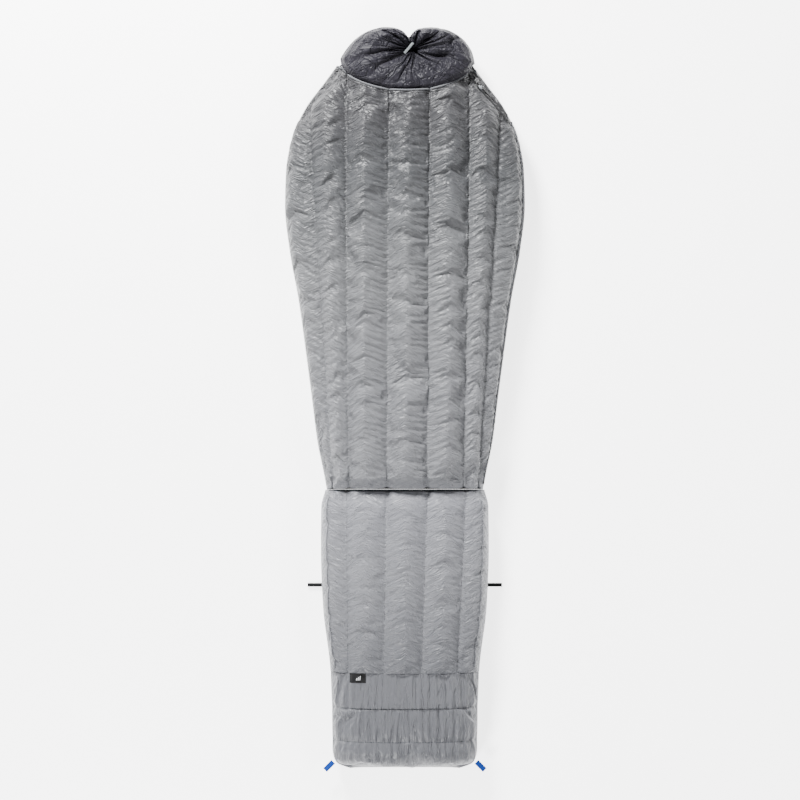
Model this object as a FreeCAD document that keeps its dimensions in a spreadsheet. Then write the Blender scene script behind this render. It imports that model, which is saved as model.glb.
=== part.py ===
"""Mummy sleeping bag: a closed down bag with a cinched neck, lengthwise chambers over the
body, a cross seam at the knee, a boxed foot, a shoulder zip and two hanging loops.
Millimetres. +X to the sleeper's left as seen from above, +Y to the head, +Z up.
The bag lies on its flat underside, with the origin under the middle of its outline."""
import FreeCAD, Part
import math
import os
import Sketcher

V = FreeCAD.Vector
doc = FreeCAD.newDocument("mummy_sleeping_bag")

# ------------------------------------------------------------------ driving dimensions

SIZES = {
    # cloth, filling and the gaps left between separate pieces
    "skin": 1.2, "gap": 0.4, "fill_inset": 2.0, "edge_share": 0.38, "tuck": 45.0,
    "split_height": 28.0, "side_loft": 42.0, "top_loft": 38.0, "liner_low": 27.5,
    "liner_tuck": 20.0, "liner_split": 40.0, "wall": 0.6, "tall": 220.0, "wide": 800.0,
    # seams between the body chambers, at the knee and at the shoulder
    "seam1_knee": -200.0, "seam1_head": -266.0, "seam2_knee": -152.0, "seam2_head": -158.0,
    "seam3_knee": -48.0, "seam3_head": -42.0, "seam4_knee": 60.0, "seam4_head": 66.0,
    "seam5_knee": 159.0, "seam5_head": 176.0, "seam6_knee": 202.0, "seam6_head": 268.0,
    "knee_line": -241.0, "head_line": 884.0,
    # seams between the leg chambers and across the foot
    "leg1_foot": -156.0, "leg1_knee": -158.0, "leg2_foot": -58.0, "leg2_knee": -48.0,
    "leg3_foot": 44.0, "leg3_knee": 62.0, "leg4_foot": 143.0, "leg4_knee": 165.0,
    "foot_line": -725.0, "foot_seam1": -819.0, "foot_seam2": -907.0, "toe_line": -990.0,
    # draft collar, seen from above an ellipse, and the cinched way through it
    "collar_x": 6.0, "collar_y": 905.0, "collar_long": 176.0, "collar_short": 88.0,
    "hem_width": 5.0, "neck_x": 21.0, "neck_y": 929.0, "duct_half": 19.0, "duct_low": 29.0,
    "duct_high": 88.0, "duct_start": 820.0, "riser_top": 129.0, "cord_ring": 34.0,
    "cord_ring_height": 110.0, "cord_radius": 1.6,
    # shoulder zip, measured along its own line
    "trough_depth": 9.5, "trough_half": 21.0, "trough_start": 12.0, "trough_end": 126.0,
    "pocket_depth": 6.5, "pocket_start": -31.0, "tape_thick": 1.0, "tape_start": 13.0,
    "tape_end": 124.0, "tape_inner": 3.1, "tape_outer": 20.4, "tape_level": -4.7,
    "teeth_inner": 1.1, "teeth_outer": 2.8, "teeth_low": -5.6, "teeth_high": 2.8,
    "slider_at": 22.0, "slider_half_long": 7.0, "slider_half_wide": 5.5, "slider_low": -7.6,
    "slider_tall": 6.6, "post_half": 0.9, "pin_height": 1.1, "pin_radius": 0.8,
    "pull_long": 30.0, "pull_wide": 6.0, "pull_thick": 1.6, "pin_clearance": 0.06,
    "stop_at": 14.0, "stop_long": 3.0,
    # cord lock at the end of the hem cord
    "lock_radius": 5.5, "lock_long": 14.0, "lock_height": 0.0, "bore_radius": 4.08,
    "bore_deep": 11.5, "button_radius": 4.0, "button_long": 12.5, "cord_hole": 1.7,
    "hem_cord": 1.2, "hem_cord_start": -30.0, "hem_cord_end": 12.0, "bead": 2.6,
    # side zip below the shoulder
    "side_zip_low": 44.0, "side_zip_high": 70.0, "side_zip_foot": -225.0,
    "side_zip_head": 742.0, "chain_low": 53.5, "chain_high": 60.5,
    # webbing and label
    "loop_long": 31.0, "loop_wide": 14.0, "web": 1.3, "loop_height": 34.0,
    "loop_x": 192.0, "loop_y": -969.5, "strap_y": -498.0, "strap_wide": 10.0,
    "strap_inner": 206.0, "strap_outer": 262.0, "strap_floor": 0.3,
    "label_x": -125.0, "label_y": -737.0, "label_long": 43.0, "label_wide": 25.0,
}

# stations along the bag: place along Y, half width and height
TORSO = {
    "knee": (-240, 212, 100), "lap": (-205, 218, 127), "thigh": (-110, 237, 136),
    "hip": (0, 251, 140), "belly": (130, 268, 143), "waist": (267, 287, 146),
    "rib": (400, 311, 149), "chest": (520, 323.5, 150), "armpit": (610, 321, 150),
    "arm": (700, 305, 147), "shoulder": (780, 269, 140), "collarbone": (850, 218, 129),
    "neck": (905, 178, 116),
}
LEG = {
    "toe": (-983, 170, 64), "sole": (-975, 184, 88), "heel": (-960, 192, 110),
    "foot": (-932, 196.5, 127),
    "arch": (-850, 197.5, 134), "ankle": (-725, 202, 122), "calf": (-550, 222, 126),
    "shin": (-400, 227.5, 127), "kneecap": (-285, 226.5, 121), "knee_join": (-242, 216, 96),
}
INNER_ENDS = {"inner_toe": (-925, 150, 80), "inner_knee": (-241, 172, 75)}
# the collar's outline grows and shrinks with height: (height, share of its full outline)
COLLAR = [(3, 0.80), (20, 0.93), (55, 1.0), (90, 0.96), (113, 0.82), (127, 0.52), (131, 0.22)]

sheet = doc.addObject("Spreadsheet::Sheet", "sizes")
cells = dict(SIZES)
for stations in (TORSO, LEG, INNER_ENDS):
    for place, numbers in stations.items():
        for word, number in zip(("along", "half", "high"), numbers):
            cells[f"{place}_{word}"] = number
for row, (word, number) in enumerate(cells.items(), start=1):
    sheet.set(f"A{row}", word)
    sheet.set(f"B{row}", str(number))
    sheet.setAlias(f"B{row}", word)
doc.recompute()


def size(word):
    return float(sheet.get(word))


def station(place):
    return tuple(size(f"{place}_{word}") for word in ("along", "half", "high"))


# ------------------------------------------------------------------ soft outlines

def across(along, half, high, low, edge, tuck):
    """Closed outline across the bag: flat below, a rounded side and a full crown."""
    flat = half - tuck
    points = []
    for turn in (0, 30, 60):
        a = math.radians(turn)
        points.append((flat + tuck * math.sin(a), low + (edge - low) * (1 - math.cos(a))))
    for turn in range(0, 91, 15):
        a = math.radians(turn)
        points.append((half * max(math.cos(a), 0) ** 0.84, edge + (high - edge) * math.sin(a) ** 0.9))
    points[-1] = (0.0, high)
    right = [V(x, along, z) for x, z in points]
    left = [V(-p.x, p.y, p.z) for p in reversed(right[:-1])]
    rim = right + left
    crown = Part.BSplineCurve()
    crown.interpolate(Points=rim, Parameters=[n / (len(rim) - 1) for n in range(len(rim))])
    floor = Part.LineSegment(left[-1], right[0])
    return Part.Wire([floor.toShape(), crown.toShape()])


def lofted(name, wires):
    shape = Part.makeLoft(wires, True, True)
    if shape.Volume < 0:
        shape.reverse()
    feature = doc.addObject("Part::Feature", name)
    feature.Shape = shape
    return feature


def bag_form(name, stations, inset, first_shift, last_shift):
    """A loft through stations, everywhere inset from the true outside."""
    places = sorted(station(place) for place in stations)
    places[0] = run_on(places[0], places[1], first_shift)
    places[-1] = run_on(places[-1], places[-2], last_shift)
    wires = []
    for along, half, high in places:
        edge = size("edge_share") * high
        wires.append(across(along, half - inset, high - inset, inset, edge, size("tuck")))
    return lofted(name, wires)


def run_on(end, neighbour, shift):
    """An end station moved along Y by shift, its size following the slope to its neighbour."""
    share = shift / (end[0] - neighbour[0])
    return tuple(here + (here - there) * share for here, there in zip(end, neighbour))


def inner_form(name, grow):
    """The sleeper's space, bounded by the liner: the outside less the filling's depth."""
    places = [station("inner_toe"), station("inner_knee")]
    for place in ("arch", "ankle", "calf", "shin", "kneecap", "lap", "thigh", "hip", "belly",
                  "waist", "rib", "chest", "armpit", "arm", "shoulder", "collarbone", "neck"):
        along, half, high = station(place)
        places.append((along, half - size("side_loft"), high - size("top_loft")))
    wires = []
    for number, (along, half, high) in enumerate(sorted(places)):
        shift = -grow if number == 0 else 0
        low = size("liner_low") - grow
        edge = (size("liner_low") + high) / 2
        wires.append(across(along + shift, half + grow, high + grow, low, edge, size("liner_tuck")))
    return lofted(name, wires)


def collar_form(name, inset):
    wires = []
    for number, (height, share) in enumerate(COLLAR):
        last = len(COLLAR) - 1
        lift = inset if number == 0 else -inset if number == last else 0
        centre = V(size("collar_x"), size("collar_y"), height + lift)
        ellipse = Part.Ellipse(centre, size("collar_long") * share - inset,
                               size("collar_short") * share - inset)
        wires.append(Part.Wire(ellipse.toShape()))
    return lofted(name, wires)


# ------------------------------------------------------------------ plain tools

def bind(thing, **formulas):
    for target, formula in formulas.items():
        thing.setExpression(target.replace("__", "."), formula)
    return thing


def block(name, low_x, low_y, low_z, long, wide, tall):
    """A box whose corner and sides are formulas on the sheet."""
    box = doc.addObject("Part::Box", name)
    return bind(box, Placement__Base__x=low_x, Placement__Base__y=low_y,
                Placement__Base__z=low_z, Length=long, Width=wide, Height=tall)


def cut(label, base, tool):
    piece = doc.addObject("Part::Cut", label)
    piece.Base, piece.Tool = base, tool
    return piece


def common(label, base, tool):
    piece = doc.addObject("Part::Common", label)
    piece.Base, piece.Tool = base, tool
    return piece


def fuse(label, *shapes):
    piece = doc.addObject("Part::MultiFuse", label)
    piece.Shapes = list(shapes)
    return piece


def slab(name, corners, low, tall):
    """A sketched outline in plan, corners given as formulas, raised to a solid."""
    sketch = doc.addObject("Sketcher::SketchObject", name + "_plan")
    values = [(sheet_value(x), sheet_value(y)) for x, y in corners]
    count = len(corners)
    for i in range(count):
        start, end = values[i], values[(i + 1) % count]
        sketch.addGeometry(Part.LineSegment(V(*start, 0), V(*end, 0)))
    for i in range(count):
        sketch.addConstraint(Sketcher.Constraint("Coincident", i, 2, (i + 1) % count, 1))
    for i, (x, y) in enumerate(corners):
        for kind, formula, value in (("DistanceX", x, values[i][0]), ("DistanceY", y, values[i][1])):
            number = sketch.addConstraint(Sketcher.Constraint(kind, -1, 1, i, 1, value))
            sketch.setExpression(f"Constraints[{number}]", formula)
    raised = doc.addObject("Part::Extrusion", name)
    raised.Base, raised.DirMode, raised.Dir, raised.Solid = sketch, "Custom", V(0, 0, 1), True
    raised.setExpression("LengthFwd", tall)
    sketch.setExpression("Placement.Base.z", low)
    return raised


def sheet_value(formula):
    """The present value of a formula such as 'sizes.knee_line + sizes.gap'."""
    scratch.setExpression("Placement.Base.x", formula)
    scratch.recompute()
    return scratch.Placement.Base.x


scratch = doc.addObject("Part::Box", "scratch")

# ------------------------------------------------------------------ forms and tools

SKIN, PAD = size("skin"), size("fill_inset")
OPEN = 1.0  # how far an inner form runs on past an end that has no cloth across it
torso_outer = bag_form("torso_outer", TORSO, 0, 0, 0)
torso_inside = bag_form("torso_inside", TORSO, SKIN, -OPEN, OPEN)
torso_pad = bag_form("torso_pad", TORSO, PAD, 0.2, 0)
leg_outer = bag_form("leg_outer", LEG, 0, 0, 0)
leg_inside = bag_form("leg_inside", LEG, SKIN, SKIN, OPEN)
leg_pad = bag_form("leg_pad", LEG, PAD, PAD, -0.2)
liner_outside = inner_form("liner_outside", 0)
liner_inside = inner_form("liner_inside", -SKIN)
liner_clear = inner_form("liner_clear", size("gap") + 0.2)
collar_outer = collar_form("collar_outer", 0)
collar_inside = collar_form("collar_inside", SKIN)
collar_pad = collar_form("collar_pad", PAD)

upper = block("upper", "-sizes.wide / 2", "-1000", "sizes.split_height + sizes.gap / 2",
              "sizes.wide", "1000 + sizes.head_line", "sizes.tall")
lower = block("lower", "-sizes.wide / 2", "-1000", "-10",
              "sizes.wide", "1000 + sizes.head_line", "sizes.split_height - sizes.gap / 2 + 10")


def neck_ellipse(name, grow):
    """The collar's outline in plan, raised to a tall elliptic cylinder."""
    plan = doc.addObject("Part::Ellipse", name + "_plan")
    bind(plan, MajorRadius=f"sizes.collar_long + {grow}", MinorRadius=f"sizes.collar_short + {grow}",
         Placement__Base__x="sizes.collar_x", Placement__Base__y="sizes.collar_y")
    plan.Placement.Base.z = -10
    raised = doc.addObject("Part::Extrusion", name)
    raised.Base, raised.DirMode, raised.Dir, raised.Solid = plan, "Custom", V(0, 0, 1), True
    raised.setExpression("LengthFwd", "sizes.tall")
    return raised


neck_clear = neck_ellipse("neck_clear", "0.6")
hem_clear = neck_ellipse("hem_clear", "sizes.hem_width + 1")
hem_outside = neck_ellipse("hem_outside", "sizes.hem_width + 0.6")
hem_ring = cut("hem_ring", hem_outside, neck_clear)

# the straight line of the shoulder zip, and a frame on the cloth's slope there
LINE_START = (188.0, 846.0)
LINE_PLAN = (0.68, -0.733)


def cloth_height(x, y):
    """Height of the outer cloth over the shoulder, between the two nearest stations."""
    places = sorted(station(place) for place in TORSO)
    for (y0, half0, high0), (y1, half1, high1) in zip(places, places[1:]):
        if y0 <= y <= y1:
            share = (y - y0) / (y1 - y0)
            half = half0 + share * (half1 - half0)
            high = high0 + share * (high1 - high0)
    edge = size("edge_share") * high
    lean = min(abs(x) / half, 1) ** (1 / 0.84)
    return edge + (high - edge) * math.sqrt(max(1 - lean * lean, 0)) ** 0.9


def on_line(t, aside=0.0):
    x = LINE_START[0] + LINE_PLAN[0] * t - LINE_PLAN[1] * aside
    y = LINE_START[1] + LINE_PLAN[1] * t + LINE_PLAN[0] * aside
    return V(x, y, cloth_height(x, y))


def line_frame():
    """Local x runs down the zip, local y towards the bag's edge, local z off the cloth."""
    start = on_line(0)
    along = (on_line(90) - start).normalize()
    aside = on_line(45, 6) - on_line(45, -6)
    up = along.cross(aside).normalize()
    aside = up.cross(along).normalize()
    turn = FreeCAD.Rotation(along, aside, up, "ZXY")
    return FreeCAD.Placement(start, turn)


ZIP = line_frame()


def zip_block(name, start, half, low, long, wide, tall):
    """A box in the zip's own frame, given by formulas."""
    box = doc.addObject("Part::Box", name)
    bind(box, Length=long, Width=wide, Height=tall)
    corner = V(sheet_value(start), sheet_value(half), sheet_value(low))
    box.Placement = ZIP.multiply(FreeCAD.Placement(corner, FreeCAD.Rotation()))
    return box


def zip_trough(name, more):
    """The hollow that the zip and the cord lock lie in."""
    deep = zip_block(name + "_deep", f"sizes.trough_start - {more}", f"-sizes.trough_half - {more}",
                     f"-sizes.trough_depth - {more}",
                     f"sizes.trough_end - sizes.trough_start + {2 * more}",
                     f"2 * sizes.trough_half + {2 * more}", "60")
    shallow = zip_block(name + "_shallow", f"sizes.pocket_start - {more}",
                        f"-sizes.trough_half - {more}", f"-sizes.pocket_depth - {more}",
                        f"sizes.trough_end - sizes.pocket_start",
                        f"2 * sizes.trough_half + {2 * more}", "60")
    return fuse(name, deep, shallow)


trough = zip_trough("trough", 0)
trough_clear = zip_trough("trough_clear", 1)

# the way in through the collar: a throat along Y and a riser up to the cinched mouth


def duct(name, inset, start, top):
    wide = f"2 * sizes.duct_half - {2 * inset}"
    throat = block(name + "_throat", f"sizes.neck_x - sizes.duct_half + {inset}", start,
                   f"sizes.duct_low + {inset}", wide,
                   f"sizes.neck_y + sizes.duct_half - {inset} - ({start})",
                   f"sizes.duct_high - sizes.duct_low - {2 * inset}")
    riser = block(name + "_riser", f"sizes.neck_x - sizes.duct_half + {inset}",
                  f"sizes.neck_y - sizes.duct_half + {inset}", f"sizes.duct_low + {inset}",
                  wide, wide, f"{top} - sizes.duct_low - {inset}")
    return fuse(name, throat, riser)


duct_outside = duct("duct_outside", 0, "sizes.duct_start", "sizes.riser_top")
duct_inside = duct("duct_inside", SKIN, "sizes.duct_start - 40", "sizes.tall")
duct_clear = duct("duct_clear", -0.3, "sizes.duct_start - 40", "sizes.tall")

# ------------------------------------------------------------------ outer cloth

parts = []


def keep(piece):
    parts.append(piece)
    return piece


torso_skin = cut("torso_skin", cut("torso_sleeve", torso_outer, torso_inside), neck_clear)
torso_skin_open = cut("torso_skin_open", cut("torso_skin_troughed", torso_skin, trough), hem_clear)
keep(common("torso_shell_top", torso_skin_open, upper))
keep(common("torso_shell_bottom", torso_skin_open, lower))
hem_band = common("hem_band", torso_skin, hem_ring)
keep(common("neck_hem_binding", cut("hem_band_troughed", hem_band, trough_clear), upper))

leg_skin = cut("leg_skin", leg_outer, leg_inside)
leg_zone = block("leg_zone", "-sizes.wide / 2", "sizes.foot_line + sizes.gap / 2",
                 "sizes.split_height + sizes.gap / 2", "sizes.wide", "700", "sizes.tall")
foot_zone = block("foot_zone", "-sizes.wide / 2", "sizes.toe_line",
                  "sizes.split_height + sizes.gap / 2", "sizes.wide",
                  "sizes.foot_line - sizes.gap / 2 - sizes.toe_line", "sizes.tall")
keep(common("leg_shell_top", leg_skin, leg_zone))
keep(common("foot_shell_top", leg_skin, foot_zone))
keep(common("leg_shell_bottom", leg_skin, lower))

# ------------------------------------------------------------------ liner

liner_skin = cut("liner_skin", cut("liner_sleeve", liner_outside, liner_inside), neck_clear)
liner_over = block("liner_over", "-sizes.wide / 2", "-1000", "sizes.liner_split + sizes.gap / 2",
                   "sizes.wide", "2000", "sizes.tall")
liner_under = block("liner_under", "-sizes.wide / 2", "-1000", "0",
                    "sizes.wide", "2000", "sizes.liner_split - sizes.gap / 2")
keep(common("liner_top", liner_skin, liner_over))
keep(common("liner_bottom", liner_skin, liner_under))

# ------------------------------------------------------------------ down and mesh walls

torso_down = cut("torso_down", cut("torso_hollow", torso_pad, liner_clear), hem_clear)
torso_loft = cut("torso_loft", torso_down, trough_clear)
leg_loft = cut("leg_loft", leg_pad, liner_clear)

ABOVE = "sizes.split_height + sizes.gap"
SEAMS = [f"seam{n}" for n in range(1, 7)]


def chamber_slab(name, left, right, low, low_end, high_end, low_word, high_word):
    """A slab between two seams, each a word of the sheet or a plain formula."""
    corners = [(left.format(low_word), low_end), (right.format(low_word), low_end),
               (right.format(high_word), high_end), (left.format(high_word), high_end)]
    return slab(name, corners, low, "sizes.tall")


def chambers(prefix, loft, seams, side_count, *ends):
    """One pillow of down between each two seams; those at the sides reach the underside."""
    sides = ["-sizes.wide / 2"] + ["sizes." + s + "_{}" for s in seams] + ["sizes.wide / 2"]
    count = len(seams) + 1
    for number, (left, right) in enumerate(zip(sides, sides[1:]), start=1):
        low = ABOVE if min(number, count + 1 - number) <= side_count else "sizes.liner_split"
        zone = chamber_slab(f"{prefix}_zone_{number}", left + " + sizes.wall",
                            right + " - sizes.wall", low, *ends)
        keep(common(f"{prefix}_fill_{number}", loft, zone))


def seam_walls(prefix, loft, seams, side_count, *ends):
    """The mesh wall that stands in each seam between the outer cloth and the liner."""
    walls = []
    for number, seam in enumerate(seams, start=1):
        side = "sizes." + seam + "_{}"
        low = ABOVE if min(number, len(seams) + 1 - number) < side_count else "sizes.liner_split"
        zone = chamber_slab(f"{prefix}_wall_zone_{number}", side + " - sizes.wall / 2",
                            side + " + sizes.wall / 2", low, *ends)
        walls.append(common(f"{prefix}_baffle_{number}", loft, zone))
    return walls


TORSO_ENDS = ("sizes.knee_line + 1.2", "sizes.head_line", "knee", "head")
LEG_ENDS = ("sizes.foot_line + sizes.wall", "sizes.knee_line - 1.4", "foot", "knee")
LEG_SEAMS = [f"leg{n}" for n in range(1, 5)]
chambers("torso", torso_loft, SEAMS, 2, *TORSO_ENDS)
for wall in seam_walls("torso", torso_loft, SEAMS, 2, *TORSO_ENDS):
    keep(wall)
chambers("leg", leg_loft, LEG_SEAMS, 1, *LEG_ENDS)
keep(fuse("leg_baffles", *seam_walls("leg", leg_loft, LEG_SEAMS, 1, *LEG_ENDS)))

FOOT = ["sizes.toe_line", "sizes.foot_seam2", "sizes.foot_seam1", "sizes.foot_line"]
for number, (low, high) in enumerate(zip(FOOT[::-1][1:], FOOT[::-1]), start=1):
    zone = block(f"foot_zone_{number}", "-sizes.wide / 2", low + " + sizes.wall", ABOVE,
                 "sizes.wide", f"{high} - ({low}) - 2 * sizes.wall", "sizes.tall")
    keep(common(f"foot_fill_{number}", leg_loft, zone))


def cross_wall(name, place):
    zone = block(name + "_zone", "-sizes.wide / 2", place + " - sizes.wall / 2", ABOVE,
                 "sizes.wide", "sizes.wall", "sizes.tall")
    return common(name, leg_loft, zone)


keep(fuse("foot_baffles", cross_wall("foot_baffle_1", "sizes.foot_seam1"),
          cross_wall("foot_baffle_2", "sizes.foot_seam2")))
keep(cross_wall("foot_wall", "sizes.foot_line"))

knee_plan = across(size("knee_line") - 0.4, size("knee_half") - 4, size("knee_high") - 8,
                   PAD, size("edge_share") * size("knee_high"), size("tuck"))
knee_plate = doc.addObject("Part::Feature", "knee_plate")
knee_plate.Shape = Part.Face(knee_plan).extrude(V(0, 0.8, 0))
keep(cut("knee_wall", knee_plate, liner_clear))

under_torso = block("under_torso", "-sizes.wide / 2", "sizes.knee_line + 1.2", "-10", "sizes.wide",
                    "sizes.head_line - sizes.knee_line - 1.2", "sizes.split_height - sizes.gap + 10")
under_leg = block("under_leg", "-sizes.wide / 2", "sizes.foot_line + sizes.wall / 2", "-10",
                  "sizes.wide", "sizes.knee_line - 1.4 - sizes.foot_line - sizes.wall / 2",
                  "sizes.split_height - sizes.gap + 10")
under_foot = block("under_foot", "-sizes.wide / 2", "sizes.toe_line", "-10", "sizes.wide",
                   "sizes.foot_line - sizes.wall / 2 - sizes.toe_line",
                   "sizes.split_height - sizes.gap + 10")
keep(common("torso_under_fill", torso_down, under_torso))
keep(common("leg_under_fill", leg_loft, under_leg))
keep(common("foot_under_fill", leg_loft, under_foot))

# ------------------------------------------------------------------ draft collar

keep(cut("collar_shell", cut("collar_sleeve", collar_outer, collar_inside), duct_clear))
keep(cut("collar_lining", duct_outside, duct_inside))
ring_at = dict(Placement__Base__x="sizes.neck_x", Placement__Base__y="sizes.neck_y",
               Placement__Base__z="sizes.cord_ring_height", Radius1="sizes.cord_ring")
drawcord = keep(bind(doc.addObject("Part::Torus", "collar_drawcord"),
                     Radius2="sizes.cord_radius", **ring_at))
drawcord_clear = bind(doc.addObject("Part::Torus", "drawcord_clear"),
                      Radius2="sizes.cord_radius + sizes.gap", **ring_at)
LEFT, RIGHT = "sizes.neck_x - sizes.duct_half - 0.6", "sizes.neck_x + sizes.duct_half + 0.6"
FRONT, BACK = "sizes.neck_y - sizes.duct_half - 0.6", "sizes.neck_y + sizes.duct_half + 0.6"
MIDDLE_WIDE = "2 * sizes.duct_half + 0.4"
COLLAR_ZONES = {
    "left": ("-sizes.wide / 2", "700", "-10", f"{LEFT} + sizes.wide / 2", "400", "sizes.tall"),
    "right": (RIGHT, "700", "-10", "300", "400", "sizes.tall"),
    "front": (f"{LEFT} + 0.4", "700", "sizes.duct_high + 0.6", MIDDLE_WIDE,
              f"{FRONT} - 700", "sizes.tall"),
    "back": (f"{LEFT} + 0.4", BACK, "-10", MIDDLE_WIDE, "200", "sizes.tall"),
    "base": (f"{LEFT} + 0.4", "700", "-10", MIDDLE_WIDE, f"{BACK} - 0.4 - 700",
             "sizes.duct_low - 0.6 + 10"),
}
for side, sides in COLLAR_ZONES.items():
    lobe = common(f"collar_lobe_{side}", collar_pad, block(f"collar_zone_{side}", *sides))
    keep(cut(f"collar_fill_{side}", lobe, drawcord_clear))

# ------------------------------------------------------------------ shoulder zip


def body_on(name, place):
    body = doc.addObject("PartDesign::Body", name)
    body.Placement = place
    return body


def plane(body, role):
    return [f for f in body.Origin.OriginFeatures if f.Role == role][0]


def sketch_on(body, role, name):
    sketch = body.newObject("Sketcher::SketchObject", name)
    sketch.AttachmentSupport = [(plane(body, role), "")]
    sketch.MapMode = "FlatFace"
    return sketch


def rectangle(sketch, low_x, high_x, low_y, high_y):
    """Four lines held to four formulas."""
    x0, x1, y0, y1 = (sheet_value(f) for f in (low_x, high_x, low_y, high_y))
    first = sketch.GeometryCount
    corners = [(x0, y0), (x1, y0), (x1, y1), (x0, y1)]
    for i in range(4):
        sketch.addGeometry(Part.LineSegment(V(*corners[i], 0), V(*corners[(i + 1) % 4], 0)))
    for i in range(4):
        link = Sketcher.Constraint("Coincident", first + i, 2, first + (i + 1) % 4, 1)
        sketch.addConstraint(link)
    for i, way in enumerate(("Horizontal", "Vertical", "Horizontal", "Vertical")):
        sketch.addConstraint(Sketcher.Constraint(way, first + i))
    for kind, line, formula, value in (
            ("DistanceX", 0, low_x, x0), ("DistanceX", 1, high_x, x1),
            ("DistanceY", 0, low_y, y0), ("DistanceY", 2, high_y, y1)):
        number = sketch.addConstraint(Sketcher.Constraint(kind, -1, 1, first + line, 1, value))
        sketch.setExpression(f"Constraints[{number}]", formula)


def circle(sketch, x, y, radius):
    values = [sheet_value(f) for f in (x, y, radius)]
    first = sketch.GeometryCount
    sketch.addGeometry(Part.Circle(V(values[0], values[1], 0), V(0, 0, 1), values[2]))
    for kind, formula, value in (("DistanceX", x, values[0]), ("DistanceY", y, values[1])):
        if abs(value) < 1e-9:
            axis = -2 if kind == "DistanceX" else -1
            sketch.addConstraint(Sketcher.Constraint("PointOnObject", first, 3, axis))
            continue
        number = sketch.addConstraint(Sketcher.Constraint(kind, -1, 1, first, 3, value))
        sketch.setExpression(f"Constraints[{number}]", formula)
    number = sketch.addConstraint(Sketcher.Constraint("Radius", first, values[2]))
    sketch.setExpression(f"Constraints[{number}]", radius)


def pad(body, sketch, name, length, low=None, midplane=False):
    feature = body.newObject("PartDesign::Pad", name)
    feature.Profile = sketch
    feature.Midplane = midplane
    feature.setExpression("Length", length)
    if low:
        sketch.setExpression("AttachmentOffset.Base.z", low)
    return feature


def pocket(body, sketch, name, length, midplane=False, backwards=False):
    feature = body.newObject("PartDesign::Pocket", name)
    feature.Profile = sketch
    feature.Midplane = midplane
    feature.Reversed = backwards
    feature.setExpression("Length", length)
    return feature


def strips(name, inner, outer, start, end, low, thick):
    """A pair of straight strips either side of the zip's line, in one node."""
    pair = []
    for side, (near, far) in {"left": ("-({1})", "-({0})"), "right": ("{0}", "{1}")}.items():
        body = body_on(f"{name}_{side}", ZIP)
        plan = sketch_on(body, "XY_Plane", f"{name}_{side}_plan")
        rectangle(plan, start, end, near.format(inner, outer), far.format(inner, outer))
        pad(body, plan, f"{name}_{side}_pad", thick, low)
        pair.append(body)
    return fuse(name, *pair)


keep(strips("zip_tapes", "sizes.tape_inner", "sizes.tape_outer", "sizes.tape_start",
            "sizes.tape_end", "sizes.tape_level", "sizes.tape_thick"))
keep(strips("zip_teeth", "sizes.teeth_inner", "sizes.teeth_outer",
            "sizes.stop_at + sizes.stop_long + 0.2", "sizes.tape_end - 2", "sizes.teeth_low",
            "sizes.teeth_high"))

zip_stop = keep(body_on("zip_top_stop", ZIP))
stop_plan = sketch_on(zip_stop, "XY_Plane", "stop_plan")
rectangle(stop_plan, "sizes.stop_at", "sizes.stop_at + sizes.stop_long",
          "-sizes.teeth_outer + 0.1", "sizes.teeth_outer - 0.1")
pad(zip_stop, stop_plan, "stop_pad", "sizes.teeth_high", "sizes.teeth_low")

# slider: two plates joined by a post between the rows of teeth, and a bridge for the pull
slider_place = ZIP.multiply(FreeCAD.Placement(V(size("slider_at") + 3, 0, 0), FreeCAD.Rotation()))
slider = keep(body_on("zip_slider", slider_place))
slider_plan = sketch_on(slider, "XY_Plane", "slider_plan")
rectangle(slider_plan, "-sizes.slider_half_long", "sizes.slider_half_long",
          "-sizes.slider_half_wide", "sizes.slider_half_wide")
pad(slider, slider_plan, "slider_block", "sizes.slider_tall", "sizes.slider_low")
# the teeth run in two channels and the tapes leave through the side slots
for side, (near, far) in {"left": ("-sizes.teeth_outer - 0.5", "-sizes.post_half"),
                          "right": ("sizes.post_half", "sizes.teeth_outer + 0.5")}.items():
    channel = sketch_on(slider, "YZ_Plane", f"slider_channel_{side}")
    rectangle(channel, near, far, "sizes.teeth_low - 0.4",
              "sizes.teeth_low + sizes.teeth_high + 0.4")
    pocket(slider, channel, f"slider_channel_cut_{side}", "40", midplane=True)
for side, (near, far) in {"left": ("-20", "-sizes.teeth_outer"),
                          "right": ("sizes.teeth_outer", "20")}.items():
    slot = sketch_on(slider, "YZ_Plane", f"slider_slot_{side}")
    rectangle(slot, near, far, "sizes.tape_level - 0.4", "sizes.tape_level + sizes.tape_thick + 0.4")
    pocket(slider, slot, f"slider_slot_cut_{side}", "40", midplane=True)
# the bridge: two ears and the round bar that the pull swings on
for side, (near, far) in {"left": ("-5", "-3.4"), "right": ("3.4", "5")}.items():
    ear = sketch_on(slider, "XY_Plane", f"slider_ear_{side}")
    rectangle(ear, "-2", "2", near, far)
    pad(slider, ear, f"slider_ear_pad_{side}", "3.8", "sizes.slider_low + sizes.slider_tall - 0.2")
bar = sketch_on(slider, "XZ_Plane", "slider_bar")
circle(bar, "0", "sizes.pin_height + 0.2", "sizes.pin_radius")
pad(slider, bar, "slider_bar_pad", "8", midplane=True)

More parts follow.
